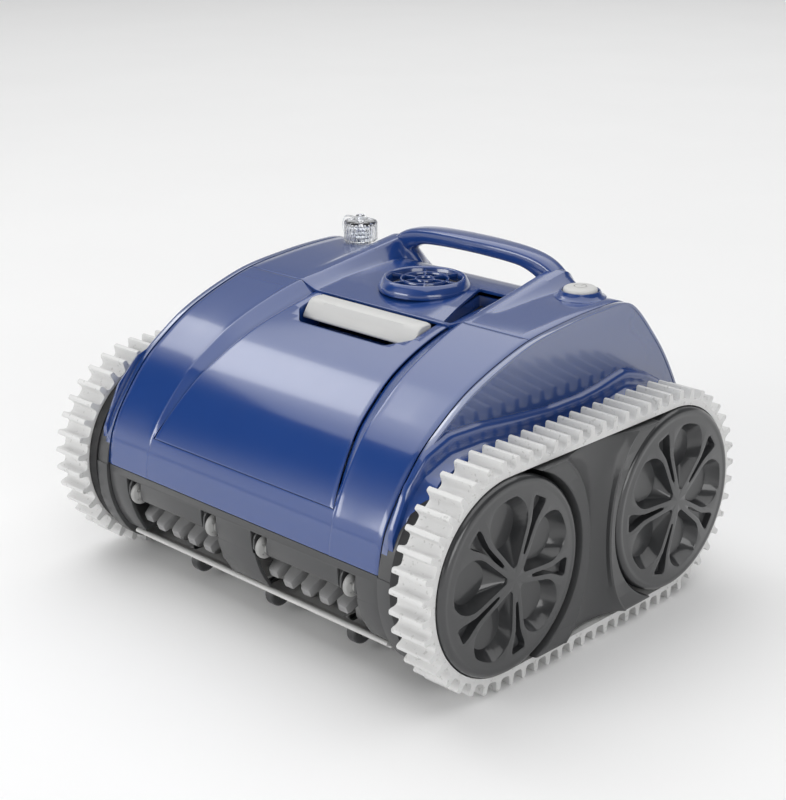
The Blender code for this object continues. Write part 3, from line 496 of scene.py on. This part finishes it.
PROFILE = spline(COVER, 260)
OUT = normals(PROFILE)
SEAM_ROW = int(np.argmin(np.abs(PROFILE[:, 0] - SEAM_Y) + (PROFILE[:, 1] < 200) * 1000))
LID_ROW = int(np.argmin(np.abs(PROFILE[:SEAM_ROW, 1] - LID_LOW_Z)))


def up_the_lid(row):
    return min(max((row - LID_ROW) / (SEAM_ROW - LID_ROW), 0.0), 1.0)


def crest_x(row):
    return 109.0 - 16.5 * up_the_lid(row)


def lid_x(row):
    """Half width of the lid, from its foot to the seam."""
    return 77.0 + 29.5 * (1 - up_the_lid(row)) ** 1.6


def lid_drop(row):
    return 7.0 * up_the_lid(row) ** 0.9


def on_profile(row, x, drop=0.0):
    y, z = PROFILE[row] - OUT[row] * drop
    return (x, y, z)


def make_front_cover():
    """U-shaped shell round the lid, with a wall that slopes from each crest down to the lid's edge."""
    rows = []
    for row in range(0, SEAM_ROW + 1):
        crest, foot, drop = crest_x(row), lid_x(row) + 0.9, lid_drop(row) + 1.8 * smooth(up_the_lid(row) * 8)
        half = [(foot, drop), (foot + 0.25 * (crest - foot), 0.78 * drop), (foot + 0.6 * (crest - foot), 0.42 * drop),
                (crest - 0.4, 0.15), (crest + 0.5, -0.25), (crest + 2.2, -0.1), (crest + 6, 0), (130, 0),
                (145, 0), (155, 0), (COVER_X - 1.2, 0.0), (COVER_X, 0.7)]
        middle = np.linspace(-1, 1, 13)[1:-1] * foot
        line = [(-x, d) for x, d in reversed(half)] + [(x, drop) for x in middle] + half
        rows.append([on_profile(row, x, d) for x, d in line])
    left, right = len(half) - 1, len(half) + len(middle)
    cover = grid("front_cover_shell", rows, lambda i, j: i < LID_ROW or j < left or j >= right)
    thicken(cover, SHELL)
    edges(cover, 0.45, 40, 2)
    piece(cover, BLUE, "chassis", "front_cover")


def make_lid():
    rows = []
    first, last = LID_ROW, SEAM_ROW
    for row in range(first, last + 1):
        half, drop = lid_x(row) - 0.2, lid_drop(row)
        xs = [half, half - 0.5, half - 1.6, half - 4] + list(np.linspace(half - 12, 0, 8))
        lows = [0.9, 0.25, 0, 0] + [0] * 8
        line = [(-x, drop + d) for x, d in zip(xs, lows)] + [(x, drop + d) for x, d in zip(xs[-2::-1], lows[-2::-1])]
        shift = 0.35 if row == first else (-0.4 if row == last else 0)
        points = [on_profile(row, x, d) for x, d in line]
        rows.append([(x, y + shift * 0.6, z + shift) for x, y, z in points])
    lid = thicken(grid("lid_shell", rows), SHELL)
    tray = block("tray", (-70, -64, 203), (70, SEAM_Y - 1.2, 226.5))
    top = [(y, z - 1.5) for y, z in (PROFILE - OUT * 7)[SEAM_ROW - 40:SEAM_ROW + 12]]
    under = prism("tray_top", [top + [(top[-1][0], 190), (top[0][0], 190)]], "X", -80, 80)
    combine(tray, "INTERSECT", under)
    join(lid, tray)
    outline = rounded([(-66, -44), (-49, -60), (49, -60), (66, -44), (66, -12), (-66, -12)], 3.5)
    rings = []
    for z, grow in ((206.5, -3.5), (209, -1.2), (216, -0.3), (262, 0.6)):
        rings.append([(x + math.copysign(grow, x), y - grow * 0.8, z) for x, y in outline])
    cut(lid, loft("latch_hollow", rings))
    edges(lid, 0.5, 38, 2)
    piece(lid, BLUE, "lid", "filter_lid")


def make_latch():
    """Bar with a bowed crease along its front face."""
    rings = []
    for x in np.linspace(-LATCH_HALF, LATCH_HALF, 33):
        bow = 1 - (x / LATCH_HALF) ** 2
        end = smooth((LATCH_HALF - abs(x)) / 2.5)
        pull = 1.2 * (1 - end)
        ring = [(-20.9, 236.2 - pull), (-26, 236.4 - pull), (-31.5, 235.9 - pull), (-34.6 + pull, 234.6 - pull),
                (-36.4 + pull, 232.0 - 2.2 * bow), (-37.6 + pull, 230.3 - 3.2 * bow), (-40.2, 225.0),
                (-42.4, 221.0), (-41.8, 219.6), (-38.5, 218.7), (-27, 225.6), (-20.9, 229.7)]
        rings.append([(x, y, z) for y, z in ring])
    bar = loft("latch_handle_bar", rings)
    edges(bar, 0.8, 45, 3)
    piece(bar, LIGHT, "latch", "latch_bar", angle=40)


def deck_floor(y):
    """Height of the sunken deck, which falls away behind the handle as room for the fingers."""
    return np.interp(y, [SEAM_Y, 15, 49, 83, 93, 99, 106, 118, 122, 128, 132, 136],
                     [236, 240.5, 243.4, 244.7, 244.2, 242.6, 239.5, 233, 230.2, 226, 222.6, 219.2])


def make_rear_cover():
    rows = []
    start = SEAM_ROW
    count = len(PROFILE) - start
    for index in range(count):
        row = start + index
        y, z = PROFILE[row]
        normal = OUT[row]
        base = np.array([y, z]) + (np.array([0.7, 0]) if index == 0 else 0)
        depth = max(z - deck_floor(y), 0) * (1 - smooth((y - 124) / 12))
        rise = max(0.0, 241 + 21 * (y - SEAM_Y) / 122 - z) * (1 - smooth((y - 104) / 28))
        slant = smooth((y - 92) / 12) * (1 - smooth((y - 120) / 40))
        t = min(max((y - SEAM_Y) / 122, 0), 1)
        inner, crest = 77.5 - 1.5 * t, 92.5 - 8.5 * t
        shoulder, flank = 101 - 1.0 * t, 103.5 + rise * 0.6
        inner -= 16 * slant
        half = [(0, -depth), (20, -depth), (40, -depth), (inner - 8, -depth), (inner - 2.5, -depth),
                (inner, -depth + 0.5), (inner + 0.35 * (crest - inner), -depth * 0.62 + rise * 0.35),
                (inner + 0.8 * (crest - inner), -depth * 0.18 + rise * 0.82), (crest, rise),
                (crest + 2, rise + 0.3), (0.5 * (crest + shoulder) + 1, rise), (shoulder - 1, rise * 0.94),
                (shoulder + 1, rise * 0.72), (flank, rise * 0.2), (flank + 4, 0.0), (flank + 12, 0), (135, 0),
                (150, 0), (COVER_X - 1.2, 0), (COVER_X, -0.7)]
        line = [(-x, d) for x, d in reversed(half[1:])] + half
        rows.append([(x, base[0], base[1] + d) if y < 150 else (x, base[0] + normal[0] * d, base[1] + normal[1] * d)
                     for x, d in line])
    cover = thicken(grid("rear_cover_shell", rows), SHELL)
    plan = [(69, -12), (78, -12), (76.5, 63), (42, 63)]
    slot = prism("deck_slot", [rounded(plan, 1.5)], "Z", 228, 262)
    slot_low = loft("slot_pan", [[(x, y, z) for x, y in rounded([(66, -14.5), (80, -14.5), (79, 66), (38, 66)], 2)]
                                 for z in (224, 238)])
    join(cover, combine(slot_low, "INTERSECT",
                        prism("slot_trim", [[(y, deck_floor(y) - 1.2) for y in np.linspace(-16, 68, 22)]
                                            + [(68, 200), (-16, 200)]], "X", 20, 100)))
    # Painted shade: the slot floor is near-black so the recess reads as shadowed.
    floor = prism("deck_slot_floor", [rounded([(69.8, -10), (77, -11), (75.6, 62), (44, 62)], 1.5)], "Z",
                  228.3, 229.6)
    edges(floor, 0.3, 50, 2)
    piece(floor, SHADE_BLACK, "chassis", "rear_cover")
    outlet = rod("outlet_hole", "Z", (0, GRILLE_Y, 0), 32.6, 225, 270, 64)
    button_hole = rod("button_hole", "Z", (*BUTTON, 0), 14.9, 235, 270, 48)
    port_hole = rod("port_hole", "Z", (*CAP, 0), 9.4, 235, 270, 48)
    cut(cover, slot, outlet, button_hole, port_hole)
    edges(cover, 0.5, 38, 2)
    piece(cover, BLUE, "chassis", "rear_cover")
    make_handle()


def make_handle():
    """Arched carry bar whose ends run down into the ridges."""
    path = spline([(-97, 245), (-90, 254), (-80, 261), (-66, 265.6), (-40, 268.8), (0, 270.0), (40, 268.8),
                   (66, 265.6), (80, 261), (90, 254), (97, 245)], 61)
    rings = []
    for (x, z), (nx, nz) in zip(path, normals(path)):
        reach = abs(x) / 97
        front, rear = 92 + 6 * reach ** 2, 117.5 - 1.5 * reach
        up, down = 6.2 + 0.8 * reach, 8.2 + 6.0 * smooth((reach - 0.55) / 0.45)
        middle, half = (front + rear) / 2, (rear - front) / 2
        ring = []
        for k in range(28):
            angle = TAU * k / 28
            c, s = math.cos(angle), math.sin(angle)
            a = math.copysign(abs(c) ** 0.62, c) * half
            b = math.copysign(abs(s) ** 0.62, s) * (up if s > 0 else down)
            ring.append((x + nx * b, middle + a, z + nz * b))
        rings.append(ring)
    piece(loft("carry_handle", rings), BLUE, "chassis", "rear_cover", angle=60)


def fender_top(y):
    """Upper edge of the wheel-arch moulding along the side."""
    return np.interp(y, [-178, -160, -140, -114, -80, -40, 0, 40, 64, 85, 98, 112, 130, 150, 170, 184],
                     [128, 165, 185, 194, 193, 188.5, 185, 185, 187.5, 191.5, 193.5, 190, 183, 172, 152, 128])


def make_side_panel():
    """Upright side panel with a rim that follows the covers, and the moulding over the belt."""
    outline = [(y, z) for y, z in PROFILE[::3]]
    outline = [tuple(p) for p in np.array(outline) - normals(np.array(outline)) * 0.3]
    panel = prism("side_panel_left_plate", [outline], "X", COVER_X + 1.4, PANEL_X[1])
    inset = [tuple(p) for p in np.array(outline) - normals(np.array(outline)) * 2.2]
    cut(panel, prism("panel_face", [inset], "X", PANEL_X[1] - 0.7, PANEL_X[1] + 3))
    edges(panel, 0.5, 40, 3)
    piece(panel, SIDE_BLUE, "chassis", "side_panel_left")
    mirror(panel, "side_panel_right_plate", SIDE_BLUE, "chassis", "side_panel_right")
    rows = []
    for y in np.linspace(-176, 182, 90):
        top = float(fender_top(y))
        low = max(top - 34, 101)
        section = [(166.4, top + 0.5), (167.6, top), (169.5, top - 1.2), (170.8, top - 3.4), (171.2, top - 8),
                   (171.5, min(top - 12, 181)), (174, min(top - 15, 178)), (183.5, min(top - 17, 176)),
                   (183.8, low), (166.4, low)]
        rows.append([(x, y, z) for x, z in section])
    fender = loft("fender_left_moulding", rows)
    piece(fender, BLUE, "chassis", "side_panel_left", angle=40)
    mirror(fender, "fender_right_moulding", BLUE, "chassis", "side_panel_right", angle=40)


# ---------------------------------------------------------------- lower body

def bumper_rows(profile, count):
    return spline(profile, count)


def make_bumpers():
    outline = bumper_rows(BUMPER_FRONT, 26)
    run = normals(outline)
    if run[0][0] > 0:
        run = -run
    inner = outline - run * 3.0
    front = prism("front_bumper_plate", [[tuple(p) for p in outline] + [tuple(p) for p in inner[::-1]]], "X",
                  -COVER_X + 0.3, COVER_X - 0.3)
    for side in (-1, 1):
        low, high = sorted((side * SLOT_X[0], side * SLOT_X[1]))
        hole = rounded([(SLOT_Z[0] - 8, low), (SLOT_Z[1], low), (SLOT_Z[1], high), (SLOT_Z[0] - 8, high)], 4)
        cut(front, prism(f"slot_{side + 1}", [hole], "Y", -200, -150))
        for x in GUIDE_X:
            x *= side
            cut(front, block("guide_notch", (x - 9.5, -200, 73), (x + 9.5, -168.5, 92.5)))
    edges(front, 0.5, 40, 2)
    piece(front, CHARCOAL, "chassis", "front_bumper")
    for number, x in enumerate(sorted(s * x for s in (-1, 1) for x in GUIDE_X), 1):
        for ear, shift in ((1, -7.6), (2, 7.8)):
            wall = rounded([(-178.6, 86), (-178.6, 76), (-173, 74), (-166, 74), (-166, 93), (-174, 93)], 2.4)
            plate = prism(f"guide_ear_{number}_{ear}", [wall, circle(GUIDE_Y, GUIDE_Z, 2.5, 20)], "X",
                          x + shift - 1, x + shift + 1)
            edges(plate, 0.3, 40, 2)
            piece(plate, CHARCOAL, "chassis", "front_bumper")
    rear = bumper_rows(BUMPER_REAR, 30)
    run = normals(rear)
    if run[0][0] < 0:
        run = -run
    inner = rear - run * 3.0
    plate = prism("rear_bumper_plate", [[tuple(p) for p in rear] + [tuple(p) for p in inner[::-1]]], "X",
                  -COVER_X + 0.3, COVER_X - 0.3)
    edges(plate, 0.5, 40, 2)
    piece(plate, CHARCOAL, "chassis", "rear_bumper")


def make_track_frame():
    """Side frame: back plate, dished waist block between the wheels."""
    node = "track_frame_left"
    for y in (-HALF_BASE, HALF_BASE):
        ring = [(24, 184.2), (24, 175), (80.5, 175), (81.2, 178), (81.2, 184.2), (79.6, 184.2), (79.2, 180), (70, 179),
                (60, 179.6), (26, 180.5)]
        # The pans behind the wheels are near-black as painted shade, for the shadowed gap round each wheel.
        pan = turned(f"wheel_pan_{'front' if y < 0 else 'rear'}_left", ring, "X", (0, y, AXLE_Z), 96)
        piece(pan, SHADE_BLACK, "chassis", node)
        mirror(pan, pan.name.replace("left", "right"), SHADE_BLACK, "chassis", "track_frame_right")
    near, far = WHEEL_R + 3.4, 76.3
    rows = []
    for v in np.linspace(-far, far, 49):
        reach = HALF_BASE - math.sqrt(near ** 2 - v ** 2)
        waist = 14 + (26.6 if v > 0 else 21) * (reach - 21.1) / 45.4
        row = [(184, -reach), (221.4, -reach), (222.8, -reach + 0.6), (223.4, -reach + 1.8),
               (223.7, -waist - 2.2), (224.4, -waist - 0.9), (224.5, -waist), (223.6, -waist + 1.3)]
        for u in np.linspace(-0.88, 0.88, 15):
            row.append((222.8 - 9.5 * (1 - abs(u) ** 2.2), u * waist))
        row += [(x, -y) for x, y in row[7::-1]]
        rows.append([(x, y, AXLE_Z + v) for x, y in row])
    waist = loft("waist_block_left", rows)
    edges(waist, 0.4, 60, 2)
    piece(waist, CHARCOAL, "chassis", node, angle=30)
    mirror(waist, "waist_block_right", CHARCOAL, "chassis", "track_frame_right", angle=30)
    outline = [(-182, 99.3), (-182, 84), (-179, 66), (-173, 50), (-163, 34), (-148, 22), (-128, 17.5),
               (-90, 17), (-30, 17), (30, 17), (85, 17), (120, 17.5), (141, 21), (160, 31), (174, 48),
               (181, 72), (182, 99.3)]
    top = circle(HALF_BASE, AXLE_Z, 79, 24, math.radians(5), math.radians(85))
    top += circle(-HALF_BASE, AXLE_Z, 79, 24, math.radians(90), math.radians(85))
    curve = spline(outline, 60)
    wall = prism("side_wall_left", [[tuple(p) for p in curve] + top], "X", 161.5, 175.5)
    edges(wall, 0.8, 40, 3)
    piece(wall, CHARCOAL, "chassis", node)
    mirror(wall, "side_wall_right", CHARCOAL, "chassis", "track_frame_right")


def along_track(distance, radius, length, half_round):
    """A point of the track's racetrack shape; tips on the arcs fan out."""
    distance %= length
    if distance < 2 * HALF_BASE:
        return HALF_BASE - distance, AXLE_Z + radius
    distance -= 2 * HALF_BASE
    if distance < half_round:
        turn = math.pi / 2 + distance / BAND_OUT_R
        return -HALF_BASE + radius * math.cos(turn), AXLE_Z + radius * math.sin(turn)
    distance -= half_round
    if distance < 2 * HALF_BASE:
        return -HALF_BASE + distance, AXLE_Z - radius
    distance -= 2 * HALF_BASE
    turn = -math.pi / 2 + distance / BAND_OUT_R
    return HALF_BASE + radius * math.cos(turn), AXLE_Z + radius * math.sin(turn)


def make_belt():
    half_round = math.pi * BAND_OUT_R
    length = 4 * HALF_BASE + 2 * half_round
    pitch = length / PADDLES
    blade = [(-0.34, 0.0), (-0.25, 0.5), (-0.19, 1.9), (-0.165, 4.0), (-0.15, 7.4), (-0.115, 8.7), (-0.05, 9.1),
             (0.05, 9.1), (0.115, 8.7), (0.15, 7.4), (0.165, 4.0), (0.19, 1.9), (0.25, 0.5), (0.34, 0.0)]
    outer = []
    for i in range(PADDLES):
        for shift, height in blade:
            outer.append(along_track((i + 0.5 + shift) * pitch, BAND_OUT_R + height, length, half_round))
    inner = circle(-HALF_BASE, AXLE_Z, BAND_IN_R, 61, math.pi / 2, math.pi)
    inner += circle(HALF_BASE, AXLE_Z, BAND_IN_R, 61, -math.pi / 2, math.pi)
    belt = prism("track_band_left", [outer, inner], "X", *BELT_X)
    edges(belt, 0.7, 60, 3)
    piece(belt, TREAD, "chassis", "track_belt_left", angle=42)
    mirror(belt, "track_band_right", TREAD, "chassis", "track_belt_right", angle=42)


def pocket_outline(centre_r, radius, tip_r, tip, angle, y, z, count=36, flat=64.5):
    """Tear-shaped outline: a round far end joined to a small round tip near the hub."""
    lean = math.asin((radius - tip) / (centre_r - tip_r))
    points = []
    half = count // 2
    for i in range(half):
        turn = -(math.pi / 2 + lean) + (math.pi + 2 * lean) * i / (half - 1)
        points.append((centre_r + radius * math.cos(turn), radius * math.sin(turn)))
    for i in range(half):
        turn = (math.pi / 2 + lean) + (math.pi - 2 * lean) * i / (half - 1)
        points.append((tip_r + tip * math.cos(turn), tip * math.sin(turn)))
    made = []
    for a, b in points:
        r = math.hypot(a, b)
        if r > flat:
            a, b = a * flat / r, b * flat / r
        made.append((y + a * math.cos(angle) - b * math.sin(angle), z + a * math.sin(angle) + b * math.cos(angle)))
    return made


def notch_outline(angle, y, z, grow=0.0):
    """Narrow flute that flares towards the rim."""
    half = [(19.5, 0.6), (24, 1.3), (34, 1.7), (44, 2.4), (52, 4.6), (57, 6.4), (61, 7.2), (63.2, 6.0)]
    points = [(a, b + grow) for a, b in half] + [(a, -b - grow) for a, b in reversed(half)]
    return [(y + a * math.cos(angle) - b * math.sin(angle), z + a * math.sin(angle) + b * math.cos(angle))
            for a, b in points]


def make_wheel(place, end, phase):
    low, high = WHEEL_X
    y = end * HALF_BASE
    rim = circle(72.7, high - 8, 5.0, 9, math.radians(110), math.radians(-110))
    face = [(0, high), (12, high), (30, high - 0.9), (50, high - 2.0), (66, high - 2.9), (69.5, high - 3.3)]
    profile = face + rim + [
        (WHEEL_R - 0.4, high - 13), (WHEEL_R - 2.5, high - 14), (WHEEL_R - 2.5, low + 4), (WHEEL_R, low + 3),
        (WHEEL_R, low), (72, low), (70, high - 17), (14, high - 17), (14, low + 2), (SHAFT_R + 0.35, low + 2),
        (SHAFT_R + 0.35, high - 9), (0, high - 9)]
    wheel = turned(f"{place}_wheel_disc_left", profile, "X", (0, y, AXLE_Z), 120)
    for i in range(5):
        angle = math.radians(phase + 72 * i)
        rings = []
        for depth, centre_r, radius, tip_r, tip in ((-3, 46.5, 21.4, 13, 3.6), (2.2, 46.2, 20.8, 13.5, 3.4),
                                                    (3.6, 46, 20.0, 15, 3.2), (12.6, 41.5, 16.5, 37, 14)):
            rings.append([(high - depth, a, b) for a, b in
                          pocket_outline(centre_r, radius, tip_r, tip, angle, y, AXLE_Z, flat=65 - depth * 0.2)])
        cut(wheel, loft(f"pocket_{i}", rings))
        angle += math.radians(36)
        rings = [[(high - depth, a, b) for a, b in notch_outline(angle, y, AXLE_Z, grow)]
                 for depth, grow in ((-3, 0.8), (2.2, 0.3), (8.4, -0.45))]
        cut(wheel, loft(f"notch_{i}", rings))
    edges(wheel, 0.45, 36, 2)
    return wheel


def make_wheels():
    for end, place, phase in ((-1, "front", 98), (1, "rear", 74)):
        wheel = make_wheel(place, end, phase)
        piece(wheel, BLACK, f"left_{place}_wheel", f"{place}_wheel_left", angle=30)
        mirror(wheel, f"{place}_wheel_disc_right", BLACK, f"right_{place}_wheel", f"{place}_wheel_right", angle=30)


# ---------------------------------------------------------------- brush and small wheels

def make_brush():
    core = rod("brush_core", "X", (0, BRUSH_Y, BRUSH_Z), 11, -149.5, 149.5, 40)
    join(core, rod("brush_journal", "X", (0, BRUSH_Y, BRUSH_Z), 5, -181, 181, 32))
    edges(core, 0.4, 50, 2)
    piece(core, RUBBER, "brush", "brush_roller")
    middle = (SLOT_X[0] + SLOT_X[1]) / 2
    number = 0
    for side in (-1, 1):
        for i in range(FINS_PER_SLOT):
            x = side * middle + (i - (FINS_PER_SLOT - 1) / 2) * FIN_PITCH
            tip = 25.4 if i in (0, FINS_PER_SLOT - 1) else 29.0
            number += 1
            fins = None
            for k in range(6):
                turn = Matrix.Rotation(k * TAU / 6 + math.radians(20), 4, "X")
                rings = []
                for r, half_x, half_t, lean in ((9, 7.4, 4.6, 0), (15, 6.8, 4.6, 0.2), (0.8 * tip, 5.8, 4.4, 0.8),
                                                (0.95 * tip, 5.2, 4.0, 1.2), (tip, 4.6, 3.2, 1.5)):
                    ring = rounded([(-half_x, -half_t), (half_x, -half_t), (half_x, half_t), (-half_x, half_t)],
                                   1.2, 2)
                    rings.append([tuple(turn @ Vector((a + x + lean * 0.8, r, b + lean)) +
                                        Vector((0, BRUSH_Y, BRUSH_Z))) for a, b in ring])
                fin = loft(f"brush_fin_{number}_{k + 1}", rings)
                fins = fin if fins is None else join(fins, fin)
            fins.name = f"brush_fins_{number}"
            piece(fins, RUBBER, "brush", "brush_roller", angle=40)


def make_small_wheels():
    ring = circle(7.9, 0, 1.7, 11, math.radians(-80), math.radians(160))
    for number, x in enumerate(sorted(s * x for s in (-1, 1) for x in GUIDE_X), 1):
        profile = [(0, 10.6), (1.6, 10.9), (2.2, 10.4), (2.2, 6), (4.1, 6), (4.7, 5.5), (4.7, 3.9), (6.8, 3.2)]
        profile += [(r, h * 1.5) for r, h in reversed(ring)]
        profile += [(6.8, -3.2), (2.2, -3.2), (2.2, -8.8), (0, -9)]
        roller = turned(f"guide_wheel_{number}", profile, "X", (x, GUIDE_Y, GUIDE_Z), 40)
        cut(roller, *[rod(f"relief_{k}", "X", (0, GUIDE_Y + 6.4 * math.cos(k * TAU / 5),
                                               GUIDE_Z + 6.4 * math.sin(k * TAU / 5)), 0.9, x + 2.6, x + 5, 12)
                      for k in range(5)])
        piece(roller, ROLLER, f"guide_roller_{number}", f"guide_roller_{number}", angle=40)
    for number, x in enumerate(SUPPORT_X, 1):
        rim = circle(8.8, 2.8, 2.2, 6, math.radians(90), math.radians(-90))
        profile = [(0, 8), (2.4, 8), (3, 7.4), (3, 5), (7.2, 5)] + rim + [(r, -h) for r, h in reversed(rim)] + [
            (7.2, -5), (3, -5), (3, -7.4), (2.4, -8), (0, -8)]
        wheel = turned(f"support_roller_{number}", profile, "X", (x, -134, 17), 48)
        piece(wheel, BLACK, f"support_wheel_{number}", f"support_wheel_{number}", angle=40)


def make_lip():
    """Light strip under the brush, with the ears of the support wheels."""
    section = spline([(-162.3, 33.4), (-162.6, 35.2), (-161, 36.6), (-158, 36.2), (-153, 33.4), (-148, 31.2)], 16)
    strip = [tuple(p) for p in section] + [(-106.6, 31), (-106.6, 29), (-149, 29), (-157, 31.4)]
    lip = prism("suction_strip", [strip], "X", -152, 152)
    for number, x in enumerate(SUPPORT_X, 1):
        cut(lip, block("wheel_notch", (x - 5.7, -147, 20), (x + 5.7, -121, 40)))
    edges(lip, 0.4, 50, 2)
    piece(lip, LIGHT, "chassis", "suction_lip")
    for number, x in enumerate(SUPPORT_X, 1):
        for ear, shift in ((1, -7.2), (2, 7.2)):
            wall = rounded([(-140, 30), (-129, 30), (-130.5, 13), (-137.5, 13)], 2.6)
            plate = prism(f"support_ear_{number}_{ear}", [wall, circle(-134, 17, 3.2, 16)], "X",
                          x + shift - 1.1, x + shift + 1.1)
            edges(plate, 0.3, 40, 2)
            piece(plate, CHARCOAL, "chassis", "suction_lip")
    for i in range(10):
        x = -146 + i * 29.2
        flap = block(f"lip_flap_{i + 1}", (x + 0.8, -150.5, 24.5), (x + 28.4, -148.2, 31.6))
        edges(flap, 0.5, 40, 2)
        piece(flap, LIGHT, "chassis", "suction_lip")
    teeth = prism("squeegee_blade", [[(-152, -116.5), (-152, -113.5), (152, -113.5), (152, -116.5)]], "Z", 8, 28)
    for i in range(1, 14):
        x = -152 + i * 304 / 14
        cut(teeth, block("slit", (x - 0.6, -120, 5), (x + 0.6, -110, 20)))
    edges(teeth, 0.4, 40, 2)
    piece(teeth, RUBBER, "chassis", "squeegee")


# ---------------------------------------------------------------- top fittings

def make_grille():
    """Raised rim, two inner rings and straight spokes."""
    def ring(name, inner, outer, low, high):
        return turned(name, [(inner, low), (inner, high - 0.6), (inner + 0.6, high), (outer - 0.6, high),
                             (outer, high - 0.6), (outer, low)], "Z", (0, GRILLE_Y, 0), 80)
    rim = turned("outlet_rim", [(31.4, 242), (31.8, 250.4), (32.6, 251.4), (34.0, 251.8), (35.4, 251.2), (37.2, 248.2),
                                (38.6, 246), (39.8, 243.4), (39.0, 240.8)], "Z", (0, GRILLE_Y, 0), 96)
    piece(rim, BLUE, "chassis", "outlet_grille", angle=50)
    web = ring("outlet_web", 19.4, 21.0, 245.6, 250.6)
    join(web, ring("hub_ring", 7.0, 8.6, 245.6, 250.4))
    for i in range(6):
        turn = i * TAU / 6 + math.radians(12)
        spoke = block("spoke", (7.8, -0.65, 245.8), (32.2, 0.65, 250.2))
        spoke.data.transform(Matrix.Translation((0, GRILLE_Y * MM, 0)) @ Matrix.Rotation(turn, 4, "Z"))
        join(web, spoke)
    edges(web, 0.35, 45, 2)
    piece(web, BLUE, "chassis", "outlet_grille", angle=50)


def make_button():
    x, y = BUTTON
    bezel = turned("button_ring", [(15.0, 250), (15.0, 254.8), (15.5, 255.4), (16.3, 255.4), (17.2, 254.2),
                                   (18.4, 251.8), (21.5, 250.2), (21.5, 249)], "Z", (x, y, 0), 72)
    piece(bezel, BLUE, "chassis", "button_bezel", angle=50)
    dome = [(r, 258.6 - 0.4 * (r / 11) ** 2) for r in np.linspace(0, 11, 9)]
    top = [(12.2, 257.9), (13.3, 257.2), (14.0, 256.2), (14.2, 255)]
    button = turned("power_key", dome + top + [(14.2, 248), (5, 248), (5, 240.2), (0, 240.2)], "Z", (x, y, 0), 72)
    groove = turned("groove", [(4.6, 257.7), (5.5, 257.7), (5.5, 262), (4.6, 262)], "Z", (x, y, 0), 48)
    cut(button, groove, block("bar_mark", (x - 0.5, y + 1, 257.8), (x + 0.5, y + 8, 262)))
    piece(button, LIGHT, "button", "power_button", angle=40)


def make_cap():
    x, y = CAP
    cup = [(0, 275.4), (3.6, 275.4), (4.4, 274.8), (4.2, 274.1), (3.0, 273.7), (3.0, 270.7), (12.6, 270.5),
           (14.6, 269.9), (15.5, 268.4), (15.5, 252.6), (15.1, 252.2), (12.4, 252.2), (12.0, 252.6), (12.0, 266),
           (0, 266.4)]
    cap = turned("charge_cap_cup", cup, "Z", (x, y, 0), 96)
    cut(cap, *[rod(f"flute_{k}", "Z", (x + 16.1 * math.cos(k * TAU / 24), y + 16.1 * math.sin(k * TAU / 24), 0), 1.25,
                   250, 268.6, 12) for k in range(24)])
    piece(cap, CLEAR, "cap", "charge_cap", angle=40)
    thread = []
    for i in range(3):
        z = 254.2 + i * 3.4
        thread += [(9.0, z - 1.0), (10.1, z - 0.3), (10.1, z + 0.3), (9.0, z + 1.0)]
    port = turned("charge_port_tube", [(9.0, 240)] + thread + [(9.0, 262), (6.5, 262), (6.5, 240)], "Z",
                  (x, y, 0), 64)
    piece(port, CLEAR, "chassis", "charge_port", angle=40)


# ---------------------------------------------------------------- the CAD nodes that stay

def dress_nodes():
    kept = {
        CHARCOAL: ["lower_hull", "intake_duct", "motor_pod", "outlet_duct", "button_seat"],
        BLACK: ["filter_basket", "battery_pack", "drive_motor_left", "drive_motor_right", "impeller"],
        STEEL: ["lid_hinge_pin_left", "lid_hinge_pin_right", "latch_pin", "pump_motor", "button_spring",
                "drive_bearing_left", "drive_bearing_right", "front_shaft_left", "front_shaft_right",
                "rear_shaft_left", "rear_shaft_right"],
        LIGHT: ["intake_flap", "brush_drive_gear", "brush_gear"],
        GREEN: ["control_board"], CLOTH: ["filter_screen"], CLEAR: ["strap_ring", "cap_strap"],
    }
    for look, names in kept.items():
        for name in names:
            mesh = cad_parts[name].data
            mesh.materials.clear()
            mesh.materials.append(look)
            mesh.shade_smooth()
            mesh.set_sharp_from_angle(angle=math.radians(32))


make_camera()
make_studio()
make_front_cover()
make_lid()
make_latch()
make_rear_cover()
make_side_panel()
make_bumpers()
make_track_frame()
make_belt()
make_wheels()
make_brush()
make_small_wheels()
make_lip()
make_grille()
make_button()
make_cap()
dress_nodes()
